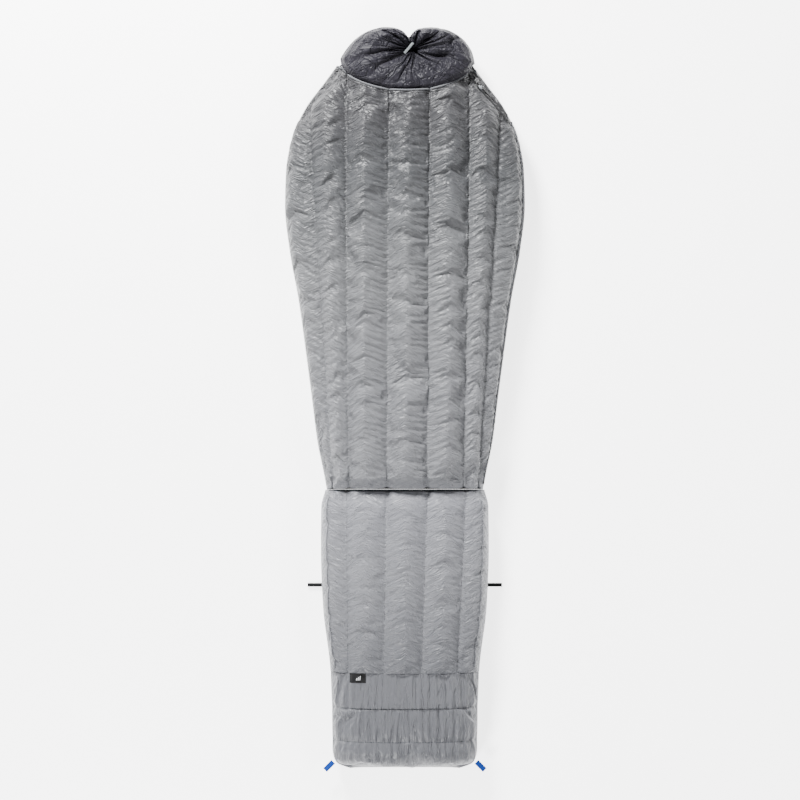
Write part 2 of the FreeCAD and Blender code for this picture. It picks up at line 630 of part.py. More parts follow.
# pull tab: a flat tongue with a hole for the bar, and a thicker moulded grip
pull = keep(body_on("zip_pull_tab", slider_place))
tongue = sketch_on(pull, "XZ_Plane", "tongue_side")
rectangle(tongue, "-1.7", "sizes.pull_long", "sizes.pin_height + 0.2 - sizes.pull_thick / 2 - 0.5",
          "sizes.pin_height + 0.2 + sizes.pull_thick / 2 + 0.5")
circle(tongue, "0", "sizes.pin_height + 0.2", "sizes.pin_radius + sizes.pin_clearance")
pad(pull, tongue, "tongue_pad", "sizes.pull_wide", midplane=True)
grip = sketch_on(pull, "XY_Plane", "grip_plan")
rectangle(grip, "12", "sizes.pull_long + 4", "-sizes.pull_wide / 2 - 0.6",
          "sizes.pull_wide / 2 + 0.6")
pad(pull, grip, "grip_pad", "2.6 + 0.9", "sizes.pin_height - 1.4")

# side zip: tape and chain laid on the outer cloth along the bag's edge
tape_over = bag_form("tape_over", TORSO, -1.4, 0, 0)
tape_under = bag_form("tape_under", TORSO, -0.4, -OPEN, OPEN)
chain_over = bag_form("chain_over", TORSO, -3.4, 0, 0)
chain_under = bag_form("chain_under", TORSO, -1.8, -OPEN, OPEN)


def side_band(name, over, under, low, high):
    zone = block(name + "_zone", "150", "sizes.side_zip_foot", low, "300",
                 "sizes.side_zip_head - sizes.side_zip_foot", f"{high} - {low}")
    return keep(common(name, cut(name + "_sleeve", over, under), zone))


side_band("side_zip_tape", tape_over, tape_under, "sizes.side_zip_low", "sizes.side_zip_high")
side_band("side_zip_chain", chain_over, chain_under, "sizes.chain_low", "sizes.chain_high")

# ------------------------------------------------------------------ hem cord and its lock


def cylinder_on(name, place, radius, long):
    """A cylinder in the zip's frame; its axis is the placement's own z."""
    rod = doc.addObject("Part::Cylinder", name)
    bind(rod, Radius=radius, Height=long)
    rod.Placement = ZIP.multiply(place)
    return rod


ALONG_X = FreeCAD.Rotation(V(0, 1, 0), 90)
ALONG_Y = FreeCAD.Rotation(V(1, 0, 0), -90)
ALONG_LOCK = size("lock_height")
barrel_start = V(0, -size("lock_long") / 2, ALONG_LOCK)
barrel = cylinder_on("barrel", FreeCAD.Placement(barrel_start, ALONG_Y), "sizes.lock_radius",
                     "sizes.lock_long")
barrel_bore = cylinder_on("barrel_bore", FreeCAD.Placement(V(0, size("lock_long") / 2
                          - size("bore_deep"), ALONG_LOCK), ALONG_Y), "sizes.bore_radius", "30")
cord_way = cylinder_on("cord_way", FreeCAD.Placement(V(-20, 0, ALONG_LOCK), ALONG_X),
                       "sizes.cord_hole", "40")
keep(cut("cord_lock_body", cut("bored_barrel", barrel, barrel_bore), cord_way))

# the button's stem has a slot for the cord, long enough for its travel
button_start = V(0, size("lock_long") / 2 + 3.6 - size("button_long"), ALONG_LOCK)
stem = cylinder_on("stem", FreeCAD.Placement(button_start, ALONG_Y), "sizes.button_radius",
                   "sizes.button_long")
slot_low = V(-20, -4.5, ALONG_LOCK - size("cord_hole"))
slot = doc.addObject("Part::Box", "stem_slot")
slot.Placement = ZIP.multiply(FreeCAD.Placement(slot_low, FreeCAD.Rotation()))
bind(slot, Length="40", Width="10", Height="2 * sizes.cord_hole")
stem_slotted = cut("stem_slotted", stem, slot)
stem_end = V(0, button_start.y - 1, ALONG_LOCK)
keep(cut("cord_lock_button", stem_slotted,
         cylinder_on("stem_hollow", FreeCAD.Placement(stem_end, ALONG_Y), "2.6", "2.2")))

cord_start = V(size("hem_cord_start"), 0, ALONG_LOCK)
cord_run = cylinder_on("cord_run", FreeCAD.Placement(cord_start, ALONG_X), "sizes.hem_cord",
                       "sizes.hem_cord_end - sizes.hem_cord_start")
cord_bead = doc.addObject("Part::Sphere", "cord_bead")
bind(cord_bead, Radius="sizes.bead")
cord_bead.Placement = ZIP.multiply(FreeCAD.Placement(
    V(size("hem_cord_end"), 0, ALONG_LOCK), FreeCAD.Rotation()))
keep(fuse("hem_cord", cord_run, cord_bead))

# ------------------------------------------------------------------ webbing and label


def webbing_loop(name, place, long, wide):
    """A folded strip of webbing seen from the side, as wide as the strip."""
    body = keep(body_on(name, place))
    side = sketch_on(body, "XZ_Plane", name + "_side")
    rectangle(side, "0", long, "0", "3 * sizes.web")
    rectangle(side, "6", f"{long} - sizes.web", "sizes.web", "2 * sizes.web")
    pad(body, side, name + "_pad", wide, midplane=True)
    return body


LOOP_SPLAY = 45  # degrees that the loops at the foot point outwards
for side, sign in (("left", -1), ("right", 1)):
    outward = FreeCAD.Rotation(V(0, 0, 1), -90 + sign * LOOP_SPLAY)
    at = V(sign * size("loop_x"), size("loop_y"), size("loop_height"))
    webbing_loop(f"hang_loop_{side}", FreeCAD.Placement(at, outward), "sizes.loop_long",
                 "sizes.loop_wide")

for side, turn in (("left", 180), ("right", 0)):
    sign = 1 if turn == 0 else -1
    at = V(sign * size("strap_inner"), size("strap_y"), size("strap_floor"))
    webbing_loop(f"pad_strap_{side}", FreeCAD.Placement(at, FreeCAD.Rotation(V(0, 0, 1), turn)),
                 "sizes.strap_outer - sizes.strap_inner", "sizes.strap_wide")

label_over = bag_form("label_over", LEG, -1.4, 0, 0)
label_under = bag_form("label_under", LEG, -0.5, -OPEN, OPEN)
label_zone = block("label_zone", "sizes.label_x - sizes.label_long / 2",
                   "sizes.label_y - sizes.label_wide / 2", "60", "sizes.label_long",
                   "sizes.label_wide", "200")
keep(common("woven_label", cut("label_sleeve", label_over, label_under), label_zone))

# ------------------------------------------------------------------ build, test and write

doc.recompute()
doc.removeObject("scratch")
failed = [o.Name for o in doc.Objects if "Invalid" in o.State or "Error" in o.State]
if failed:
    raise SystemExit(f"these objects failed: {failed}")

os.makedirs("parts", exist_ok=True)
total = 0.0
for piece in parts:
    shape = piece.Shape
    if shape.isNull() or not shape.isValid() or not shape.Solids:
        raise SystemExit(f"{piece.Label} is not a valid solid")
    total += shape.Volume
    box = shape.optimalBoundingBox(False, False)
    print(f"{piece.Label:22s} solids {len(shape.Solids)} volume {shape.Volume / 1e6:8.4f} l "
          f"x {box.XMin:7.1f} {box.XMax:7.1f} y {box.YMin:7.1f} {box.YMax:7.1f} "
          f"z {box.ZMin:6.2f} {box.ZMax:6.1f}")
    shape.exportStep(f"parts/{piece.Label}.step")
print(f"{len(parts)} nodes, {total / 1e6:.2f} litres")
print("zip frame", ZIP.Base, "along", ZIP.Rotation.multVec(V(1, 0, 0)),
      "aside", ZIP.Rotation.multVec(V(0, 1, 0)), "up", ZIP.Rotation.multVec(V(0, 0, 1)))
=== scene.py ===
import math

import bmesh
import bpy
import numpy as np
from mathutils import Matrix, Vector, noise
from mathutils.bvhtree import BVHTree


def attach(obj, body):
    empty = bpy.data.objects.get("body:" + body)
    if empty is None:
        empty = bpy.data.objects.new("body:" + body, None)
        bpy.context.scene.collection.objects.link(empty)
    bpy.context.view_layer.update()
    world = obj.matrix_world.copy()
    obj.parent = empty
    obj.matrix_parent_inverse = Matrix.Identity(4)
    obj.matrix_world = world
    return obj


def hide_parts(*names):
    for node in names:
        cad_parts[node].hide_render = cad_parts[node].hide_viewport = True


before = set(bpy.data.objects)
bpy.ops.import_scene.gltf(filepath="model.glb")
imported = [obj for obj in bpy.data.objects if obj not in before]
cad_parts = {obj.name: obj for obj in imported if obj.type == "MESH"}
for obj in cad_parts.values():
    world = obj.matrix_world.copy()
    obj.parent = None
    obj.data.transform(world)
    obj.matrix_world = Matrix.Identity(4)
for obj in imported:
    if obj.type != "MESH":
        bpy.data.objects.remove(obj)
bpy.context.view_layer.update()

# ---------------------------------------------------------------- body cover
# The upper bag: calendered nylon ripstop over seven lengthwise down chambers, cut longer
# than its seams, so that it puckers where it is sewn. A grid over the bag's own outline,
# sunk at the seams and swollen by a cloth simulation.

TORSO = [  # along, half width, height
    (-0.2402, 0.212, 0.100), (-0.205, 0.218, 0.127), (-0.110, 0.237, 0.136),
    (0.0, 0.251, 0.140), (0.130, 0.268, 0.143), (0.267, 0.287, 0.146), (0.400, 0.311, 0.149),
    (0.520, 0.3235, 0.150), (0.610, 0.321, 0.150), (0.700, 0.305, 0.147),
    (0.780, 0.269, 0.140), (0.850, 0.218, 0.129), (0.905, 0.178, 0.116)]
TORSO_SEAMS = [  # across at the knee, across at the neck
    (-0.200, -0.266), (-0.152, -0.158), (-0.048, -0.042), (0.060, 0.066),
    (0.159, 0.176), (0.202, 0.268)]
HEM = dict(x=0.006, y=0.905, long=0.1795, short=0.086)  # the neck opening, an ellipse
TUCK = 0.045  # how far the underside is drawn in at each edge
A_SEAM, HALF_CHAMBER = 0.053, 0.0535  # a seam lies 53 mm left of the middle, the next 107 mm on


def srgb(code):
    """A hex colour as the linear RGBA that shaders take."""
    parts = [int(code[i:i + 2], 16) / 255 for i in (0, 2, 4)]
    return tuple(c / 12.92 if c < 0.04045 else ((c + 0.055) / 1.055) ** 2.4
                 for c in parts) + (1.0,)


def add(tree, kind, sockets=None, **settings):
    """Adds a node; a socket's value is a number, a colour or another node's output."""
    made = tree.nodes.new(kind)
    for name, value in settings.items():
        setattr(made, name, value)
    for name, value in (sockets or {}).items():
        if isinstance(value, bpy.types.NodeSocket):
            tree.links.new(value, made.inputs[name])
        else:
            made.inputs[name].default_value = value
    return made


def ramp(tree, value, *stops):
    made = add(tree, "ShaderNodeValToRGB", {"Fac": value})
    for extra in range(len(stops) - 2):
        made.color_ramp.elements.new(0.5)
    for element, (place, colour) in zip(made.color_ramp.elements, stops):
        element.position, element.color = place, colour
    return made.outputs["Color"]


def math_node(tree, operation, a, b=0.0, c=0.0):
    return add(tree, "ShaderNodeMath", {0: a, 1: b, 2: c}, operation=operation).outputs[0]


def new_material(name, **surface):
    made = bpy.data.materials.new(name)
    made.use_nodes = True
    tree = made.node_tree
    shader = tree.nodes["Principled BSDF"]
    for socket, value in surface.items():
        shader.inputs[socket.replace("_", " ")].default_value = value
    return made, tree, shader


def nylon(name, stops, roughness=0.42, grid=0.0052, grid_depth=0.35, sheen=0.05, crease=0.0017,
          gloss=0.30, creases=(22.0, 95.0, 22.0)):
    """Thin nylon: a tone that varies along the bag, which on the ripstop shell is painted shade, a
    ripstop grid, a fine weave, and fine creases that climb away from the seams, crease metres deep."""
    made, tree, shader = new_material(name, Sheen_Weight=sheen, Sheen_Roughness=0.35,
                                      Specular_IOR_Level=gloss)
    place = add(tree, "ShaderNodeTexCoord").outputs["Object"]
    xyz = add(tree, "ShaderNodeSeparateXYZ", {0: place})
    low, high = stops[0][0], stops[-1][0]
    share = add(tree, "ShaderNodeMapRange", {"Value": xyz.outputs["Y"], "From Min": low,
                                             "From Max": high}).outputs[0]
    # the tone along the bag from the stops; on the ripstop shell this is painted shade, darker
    # towards the head
    tone = ramp(tree, share, *[((y - low) / (high - low), srgb(c)) for y, c in stops])
    cloud = add(tree, "ShaderNodeTexNoise", {"Vector": place, "Scale": 9.0, "Detail": 4.0})
    fleck = add(tree, "ShaderNodeTexNoise", {"Vector": place, "Scale": 700.0, "Detail": 2.0})
    mottle = math_node(tree, "MULTIPLY_ADD", cloud.outputs[0], 0.16, 0.92)
    mottle = math_node(tree, "MULTIPLY", mottle,
                       math_node(tree, "MULTIPLY_ADD", fleck.outputs[0], 0.12, 0.94))
    cloth = add(tree, "ShaderNodeUVMap", uv_map="cloth").outputs[0]
    uv = add(tree, "ShaderNodeSeparateXYZ", {0: cloth})
    lines = []
    for axis in ("X", "Y"):
        wave = math_node(tree, "FRACT", math_node(tree, "DIVIDE", uv.outputs[axis], grid))
        lines.append(math_node(tree, "LESS_THAN", wave, 0.11))
    ripstop = math_node(tree, "MAXIMUM", *lines)
    weave = []
    for axis in ("X", "Y"):
        wave = math_node(tree, "MULTIPLY", uv.outputs[axis], 2 * math.pi / 0.0006)
        weave.append(math_node(tree, "SINE", wave))
    weave = math_node(tree, "MULTIPLY", *weave)
    shade = math_node(tree, "MULTIPLY", mottle,
                      math_node(tree, "MULTIPLY_ADD", ripstop, -0.045, 1.0))
    tone = add(tree, "ShaderNodeMix", {6: tone, 7: srgb("000000"), 0: math_node(
        tree, "SUBTRACT", 1.0, shade)}, data_type="RGBA").outputs[2]
    tree.links.new(tone, shader.inputs["Base Color"])
    rough = math_node(tree, "MULTIPLY_ADD", cloud.outputs[0], 0.12, roughness - 0.06)
    tree.links.new(rough, shader.inputs["Roughness"])
    height = math_node(tree, "MULTIPLY_ADD", weave, 0.1,
                       math_node(tree, "MULTIPLY", ripstop, grid_depth))
    bump = add(tree, "ShaderNodeBump", {"Height": height, "Strength": 0.25,
                                        "Distance": 0.00012})
    beside_seam = math_node(tree, "PINGPONG", math_node(tree, "ADD", xyz.outputs["X"], A_SEAM),
                            HALF_CHAMBER)
    climbing = add(tree, "ShaderNodeCombineXYZ", {
        0: xyz.outputs["X"], 1: math_node(tree, "MULTIPLY_ADD", beside_seam, -0.5,
                                          xyz.outputs["Y"]), 2: xyz.outputs["Z"]}).outputs[0]
    stretched = add(tree, "ShaderNodeVectorMath", {0: climbing, 1: creases},
                    operation="MULTIPLY").outputs[0]
    folds = add(tree, "ShaderNodeTexNoise", {"Vector": stretched, "Scale": 1.0, "Detail": 2.0,
                                             "Distortion": 0.9}).outputs[0]
    ridge = math_node(tree, "ABSOLUTE", math_node(tree, "SUBTRACT", folds, 0.5))
    ridge = math_node(tree, "MINIMUM", math_node(tree, "MULTIPLY", ridge, 7.0), 1.0)
    creased = add(tree, "ShaderNodeBump", {"Height": ridge, "Strength": 1.0, "Distance": crease,
                                           "Normal": bump.outputs[0]})
    tree.links.new(creased.outputs[0], shader.inputs["Normal"])
    return made


def mesh_object(name, points, faces, material, smooth=True):
    mesh = bpy.data.meshes.new(name)
    mesh.from_pydata([tuple(p) for p in points], [], faces)
    mesh.validate()
    mesh.materials.append(material)
    if smooth:
        mesh.shade_smooth()
    made = bpy.data.objects.new(name, mesh)
    bpy.context.scene.collection.objects.link(made)
    return made


def at_station(table, y):
    """Half width and height of the bag at y, on a smooth curve through the table."""
    ys, halves, highs = (np.array(column) for column in zip(*table))
    y = np.clip(y, ys[0], ys[-1])
    i = np.clip(np.searchsorted(ys, y) - 1, 0, len(ys) - 2)
    gap = ys[i + 1] - ys[i]
    t = (y - ys[i]) / gap
    found = []
    for values in (halves, highs):
        steps = np.diff(values) / np.diff(ys)
        slopes = np.zeros(len(ys))
        slopes[1:-1] = np.where(steps[1:] * steps[:-1] > 0,
                                2 * steps[1:] * steps[:-1] / (steps[1:] + steps[:-1] + 1e-12), 0)
        slopes[0], slopes[-1] = steps[0], steps[-1]
        found.append((2 * t**3 - 3 * t**2 + 1) * values[i] + (t**3 - 2 * t**2 + t) * gap * slopes[i]
                     + (3 * t**2 - 2 * t**3) * values[i + 1] + (t**3 - t**2) * gap * slopes[i + 1])
    return found


def over_top(half, high, turn):
    """The outline above the bag's edge; turn runs from 0 at the right to pi at the left."""
    edge = 0.38 * high
    c, s = np.cos(turn), np.maximum(np.sin(turn), 0)
    return np.sign(c) * half * np.abs(c) ** 0.84, edge + (high - edge) * s ** 0.9


def under_side(half, high, share):
    """The outline below the edge; share runs from 0 at the left edge to 1 at the right."""
    edge, flat = 0.38 * high, half - TUCK
    reach = np.abs(2 * share - 1)
    turn = np.clip((reach - 0.55) / 0.45, 0, 1) * math.pi / 2
    x = np.where(reach > 0.55, flat + TUCK * np.sin(turn), flat * reach / 0.55)
    return np.sign(2 * share - 1) * x, edge * (1 - np.cos(turn))


def unit(v):
    return v / np.maximum(np.linalg.norm(v, axis=-1, keepdims=True), 1e-12)


def grid_normals(points):
    """Outward normals of a grid whose rows are closed rings round the Y axis."""
    round_it = np.roll(points, -1, axis=1) - np.roll(points, 1, axis=1)
    along = np.gradient(points, axis=0)
    return unit(np.cross(along, round_it) * -1)


def rumple(points, seed, size):
    """Smooth noise from -1 to 1 at each point, for lumps of the given size in metres."""
    flat = points.reshape(-1, 3) / size
    shift = Vector((seed * 7.31, seed * 3.17, seed * 1.73))
    values = [noise.noise(Vector(p) + shift) for p in flat]
    return np.array(values).reshape(points.shape[:-1])


def puckers(across, along, chambers, seed, lean, wave):
    """Folds that start at each seam and rise at a slant to the chamber's crest.
    across is the share of the way over a chamber and chambers its number."""
    tilt = lean[chambers]
    slant = np.where(across < 0.5, across, 1 - across) * 0.055 + (across - 0.5) * tilt
    field = np.stack([chambers * 3.1 + across * 0.6, along / 0.05, np.zeros_like(along)], -1)
    drift = rumple(field, seed, 1.0)
    side = np.where(across < 0.5, 0.0, 1.7) + chambers * 2.3
    phase = (along - slant + 0.020 * drift) / wave + side
    rise = np.cos(2 * math.pi * phase)
    field = np.stack([chambers * 5.7 + across * 2.0, along / 0.035, np.ones_like(along)], -1)
    return rise * np.clip(0.65 + 1.1 * rumple(field, seed + 5, 1.0), 0, 1.3)


def swell(obj, held, grow, pressure, cap, bending=0.4, frames=20):
    """Fills a cover with down: a cloth simulation in which the cloth is cut larger than the
    shape it is sewn to, by the share grow. held is 1 where the cloth is sewn, and cap limits
    how far each point moves."""
    mesh = obj.data
    start = np.empty(len(mesh.vertices) * 3)
    mesh.vertices.foreach_get("co", start)
    start = start.reshape(-1, 3)
    sewn = obj.vertex_groups.new(name="sewn")
    sewn.add(np.nonzero(held > 0.5)[0].tolist(), 1.0, "REPLACE")
    cloth = obj.modifiers.new("Cloth", "CLOTH")
    rules = cloth.settings
    rules.vertex_group_mass = "sewn"
    rules.shrink_min = -grow
    rules.quality = 5
    rules.mass = 0.15
    rules.tension_stiffness = rules.compression_stiffness = 30
    rules.shear_stiffness = 8
    rules.bending_stiffness = bending
    rules.use_pressure = True
    rules.uniform_pressure_force = pressure
    rules.effector_weights.gravity = 0
    cloth.point_cache.frame_start, cloth.point_cache.frame_end = 1, frames
    for number in range(1, frames + 1):
        bpy.context.scene.frame_set(number)
    puffed = obj.evaluated_get(bpy.context.evaluated_depsgraph_get()).data
    end = np.empty(len(puffed.vertices) * 3)
    puffed.vertices.foreach_get("co", end)
    obj.modifiers.remove(cloth)
    bpy.context.scene.frame_set(1)
    move = end.reshape(-1, 3) - start
    length = np.linalg.norm(move, axis=1, keepdims=True)
    move *= np.minimum(1, cap[:, None] / np.maximum(length, 1e-9))
    mesh.vertices.foreach_set("co", (start + move).ravel())
    mesh.update()
    return start + move


def refine(obj, levels=1):
    """Rounds the mesh by subdivision and keeps the result."""
    step = obj.modifiers.new("Subdivision", "SUBSURF")
    step.levels = step.render_levels = levels
    fine = bpy.data.meshes.new_from_object(obj.evaluated_get(
        bpy.context.evaluated_depsgraph_get()))
    obj.modifiers.clear()
    old, obj.data = obj.data, fine
    bpy.data.meshes.remove(old)
    fine.shade_smooth()


def ring_faces(rows, columns):
    """Quads between closed rings."""
    faces = []
    for r in range(rows - 1):
        for c in range(columns):
            n = (c + 1) % columns
            faces.append((r * columns + c, r * columns + n,
                          (r + 1) * columns + n, (r + 1) * columns + c))
    return faces


def close_ends(obj):
    """Closes a finished cover's open rings with flat faces."""
    work = bmesh.new()
    work.from_mesh(obj.data)
    bmesh.ops.holes_fill(work, edges=[e for e in work.edges if e.is_boundary], sides=0)
    bmesh.ops.triangulate(work, faces=[f for f in work.faces if len(f.verts) > 4])
    work.to_mesh(obj.data)
    work.free()


def cloth_map(obj, rings, columns):
    """A UV map in metres of cloth: round the bag, and along it."""
    points = np.empty(len(obj.data.vertices) * 3)
    obj.data.vertices.foreach_get("co", points)
    points = points.reshape(-1, 3)
    grid = points[:rings * columns].reshape(rings, columns, 3)
    step = np.linalg.norm(np.diff(grid, axis=1, append=grid[:, :1]), axis=2)
    middle = step.mean(axis=0)
    round_it = np.concatenate([[0], np.cumsum(middle)])
    layer = obj.data.uv_layers.new(name="cloth")
    loops = np.empty(len(obj.data.loops), int)
    obj.data.loops.foreach_get("vertex_index", loops)
    column = loops % columns
    u = round_it[column]
    for face in obj.data.polygons:
        span = slice(face.loop_start, face.loop_start + face.loop_total)
        if face.loop_total == 4 and column[span].max() - column[span].min() > 1:
            u[span] = np.where(column[span] == 0, round_it[-1], u[span])
    v = points[loops, 1]
    layer.data.foreach_set("uv", np.stack([u, v], -1).ravel())


def lay_cover(name, table, seam_places, counts, y_first, y_last, rows, material, depth,
              lean, wave, seed, seed_size, ends, cross=(), floor_columns=30):
    """Makes a cover's mesh. seam_places(y share) gives the seams' x, left to right, y_last
    the far end's y for each x, and cross the places along of seams across the bag. Returns
    the object, its grid, where it is sewn, and its counts of upper and of all columns."""
    shares = np.linspace(0, 1, rows)
    over, chamber = [], []
    for number, count in enumerate(counts):
        for k in range(count):
            over.append(k / count)
            chamber.append(number)
    over.append(1.0)
    chamber.append(len(counts) - 1)
    over, chamber = np.array(over), np.array(chamber)
    top = len(over)
    columns = top + floor_columns
    grid = np.zeros((rows, columns, 3))
    for r, s in enumerate(shares):
        y = np.full(columns, y_first + s * (y_last(np.zeros(1))[0] - y_first))
        for _ in range(4):
            half, high = at_station(table, y[:top])
            seam_x = [-half] + [np.full(top, x) for x in seam_places(s)] + [half]
            turns = [np.arccos(np.sign(x) * (np.clip(np.abs(x) / half, 0, 1)) ** (1 / 0.84))
                     for x in seam_x]
            turns[1:-1] = [np.clip(turn, 0.3, math.pi - 0.3) for turn in turns[1:-1]]
            left = np.array([turns[c][i] for i, c in enumerate(chamber)])
            right = np.array([turns[c + 1][i] for i, c in enumerate(chamber)])
            x, z = over_top(half, high, left + (right - left) * over)
            y[:top] = y_first + s * (y_last(x) - y_first)
        # the underside runs from the right edge back to the left one
        share = 1 - (np.arange(floor_columns) + 1) / (floor_columns + 1)
        for _ in range(4):
            half, high = at_station(table, y[top:])
            xf, zf = under_side(half, high, share)
            y[top:] = y_first + s * (y_last(xf) - y_first)
        grid[r, :, 1] = y
        grid[r, :top, 0], grid[r, :top, 2] = x, z
        grid[r, top:, 0], grid[r, top:, 2] = xf, zf
    normals = grid_normals(grid)
    normals[:, top:] = 0
    puff = np.sqrt(np.clip(1 - (2 * over - 1) ** 2, 0, 1)) ** 0.8
    outer = (chamber == 0) & (over < 0.5) | (chamber == len(counts) - 1) & (over > 0.5)
    puff = np.where(outer, 1.0, puff)
    sink = (0.006 + depth * (1 - puff))[None, :] * np.ones((rows, 1))
    stops = np.array([y_first, *cross, y_last(np.zeros(1))[0]])
    for low, high in zip(stops, stops[1:]) if cross else ():
        share = np.clip((grid[:, :top, 1] - low) / (high - low), 0, 1)
        inside = (grid[:, :top, 1] >= low) & (grid[:, :top, 1] <= high)
        crown = np.sqrt(np.clip(1 - (2 * share - 1) ** 2, 0, 1)) ** 0.8
        sink += np.where(inside, depth * (1 - crown), 0)
    fold = puckers(np.tile(over, (rows, 1)), grid[:, :top, 1], np.tile(chamber, (rows, 1)),
                   seed, np.array(lean), wave)
    if cross:
        field = np.stack([grid[:, :top, 0] / 0.05, grid[:, :top, 1] / 0.08,
                          np.zeros((rows, top))], -1)
        fold = np.cos(2 * math.pi * (grid[:, :top, 0] + 0.008 * rumple(field, seed, 1.0)) / wave)
    near = np.minimum(over, 1 - over)
    envelope = np.clip(near / 0.06, 0, 1) * np.clip(1.2 - near * 2.6, 0.06, 1)
    envelope = np.where(outer, np.clip(np.minimum(over, 1 - over) / 0.2, 0, 1) * 0.8, envelope)
    end_fade = np.clip(np.minimum((shares - ends[0]) / 0.03, (1 - ends[1] - shares) / 0.03), 0, 1)
    grid[:, :top] += normals[:, :top] * (
        -sink + seed_size * fold * envelope[None, :] * end_fade[:, None])[:, :, None]
    made = mesh_object(name, grid.reshape(-1, 3), ring_faces(rows, columns), material)
    held = np.zeros((rows, columns))
    held[:, top:] = 1
    sewn = over == 0
    held[:, :top][:, sewn] = 1
    held[:, top - 1] = 1
    held[0], held[-1] = 1, 1
    for seam in cross:
        held[np.argmin(np.abs(grid[:, top // 2, 1] - seam))] = 1
    return made, grid, held, top, columns


def neck_line(x):
    """Where the cover ends under the neck binding, for a place across."""
    lean = np.clip(np.abs(x - HEM["x"]) / HEM["long"], 0, 1)
    line = HEM["y"] - HEM["short"] * np.sqrt(1 - lean**2)
    return np.minimum(line, 0.893)


# painted shade along the bag: the grey at each place along it, lightest about the knee and darkest
# at the head
SHELL_GREY_PAINTED_SHADE = [
    (-0.99, "505155"), (-0.84, "505155"), (-0.72, "535458"), (-0.60, "5E5F63"),
    (-0.45, "696A6E"), (-0.27, "6D6E73"), (-0.20, "656669"), (0.0, "626366"),
    (0.30, "5D5E60"), (0.45, "4F5052"), (0.62, "3B3C3E"), (0.75, "313133"), (0.90, "2B2B2D")]
# calendered ripstop: a soft satin grey with a fine square grid; its tone along the bag, lightest
# about the knee, darker towards the foot and darkest towards the head, is painted shade
ripstop = nylon("nylon_ripstop_grey", SHELL_GREY_PAINTED_SHADE)
body_cover, body_grid, body_held, body_top, body_columns = lay_cover(
    "body_cover", TORSO, lambda s: [a + s * (b - a) for a, b in TORSO_SEAMS],
    (18, 16, 22, 22, 22, 16, 18), -0.2402, neck_line, 236, ripstop, 0.011,
    (0.0, -0.03, 0.01, 0.045, -0.01, -0.01, 0.0), 0.0175, 3, 0.0016, (0.012, 0.02))
body_held[:, body_top - 6:body_top] = 1  # the side zip is sewn on here
body_cap = np.where(body_held.ravel() > 0.5, 0, 0.016)
body_points = swell(body_cover, body_held.ravel(), 0.10, 4.0, body_cap, frames=15)
body_points = body_points.reshape(236, body_columns, 3)
cloth_map(body_cover, 236, body_columns)
refine(body_cover)

# the shoulder zip lies in a groove, and the cord lock in a pocket above it
ZIP_BASE = np.array([0.188, 0.846, 0.0973174])
ZIP_AXES = np.array([[0.6788822, -0.7317951, -0.0599571], [0.5190557, 0.5360702, -0.6657401],
                     [0.5193266, 0.4208381, 0.7437710]])  # along, aside, up


def to_zip(points):
    return (points - ZIP_BASE) @ ZIP_AXES.T


def from_zip(points):
    return np.asarray(points) @ ZIP_AXES + ZIP_BASE


def ease(value, start, end):
    t = np.clip((value - start) / (end - start), 0, 1)
    return t * t * (3 - 2 * t)


def groove(obj):
    """Presses the cover down beside and under the zip and its cord lock."""
    points = np.empty(len(obj.data.vertices) * 3)
    obj.data.vertices.foreach_get("co", points)
    points = points.reshape(-1, 3)
    local = to_zip(points)
    along, aside, up = local.T
    within = (1 - ease(np.abs(aside), 0.021, 0.031)) * ease(along, -0.040, -0.030) * (
        1 - ease(along, 0.124, 0.136)) * (points[:, 2] > 0.03)
    slot = (1 - ease(np.abs(aside), 0.0065, 0.0095)) * ease(along, 0.008, 0.012)
    pocket = (1 - ease(np.abs(aside), 0.013, 0.017)) * (1 - ease(along, 0.010, 0.014))
    bed = -0.0032 - 0.0056 * slot - 0.0036 * pocket
    local[:, 2] = np.where(up > bed, up + (bed - up) * within, up)
    points = np.where(within[:, None] > 0, from_zip(local), points)
    obj.data.vertices.foreach_set("co", points.ravel())
    obj.data.update()


groove(body_cover)
close_ends(body_cover)
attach(body_cover, "root")
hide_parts("torso_shell_top", "torso_shell_bottom", "torso_under_fill",
            "liner_top", "liner_bottom", "knee_wall",
            *[f"torso_fill_{n}" for n in range(1, 8)],
            *[f"torso_baffle_{n}" for n in range(1, 7)])

# ---------------------------------------------------------------- leg cover
# The same ripstop over five lengthwise chambers, smoother than the body, with gathers where
# it is pulled in at the knee seam. Made and swollen like the body cover.

LEG = [
    (-0.990, 0.150, 0.052), (-0.983, 0.170, 0.066), (-0.975, 0.184, 0.088),
    (-0.960, 0.192, 0.110), (-0.932, 0.1965, 0.127), (-0.850, 0.1975, 0.134),
    (-0.725, 0.202, 0.122), (-0.550, 0.222, 0.126), (-0.400, 0.2275, 0.127),
    (-0.285, 0.2265, 0.121), (-0.2418, 0.216, 0.098)]
LEG_SEAMS = [(-0.156, -0.158), (-0.058, -0.048), (0.044, 0.062), (0.143, 0.165)]
leg_cover, leg_grid, leg_held, leg_top, leg_columns = lay_cover(
    "leg_cover", LEG, lambda s: [a + s * (b - a) for a, b in LEG_SEAMS],
    (18, 20, 21, 20, 18), -0.7248, lambda x: np.full(len(x), -0.2406), 100, ripstop, 0.007,
    (0.0, -0.02, 0.0, 0.02, 0.0), 0.017, 11, 0.0006, (0.01, 0.01))
leg_cap = np.where(leg_held.ravel() > 0.5, 0, 0.012)
leg_points = swell(leg_cover, leg_held.ravel(), 0.045, 4.0, leg_cap, frames=15)
leg_points = leg_points.reshape(100, leg_columns, 3)
cloth_map(leg_cover, 100, leg_columns)
refine(leg_cover)
close_ends(leg_cover)
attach(leg_cover, "root")
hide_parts("leg_shell_top", "leg_shell_bottom", "leg_under_fill", "leg_baffles",
            *[f"leg_fill_{n}" for n in range(1, 6)])

# ---------------------------------------------------------------- foot cover
# The foot box: three channels of the same ripstop across the bag, with lengthwise pleats
# below each seam, and a rounded end.

FOOT_SEAMS = (-0.907, -0.819)
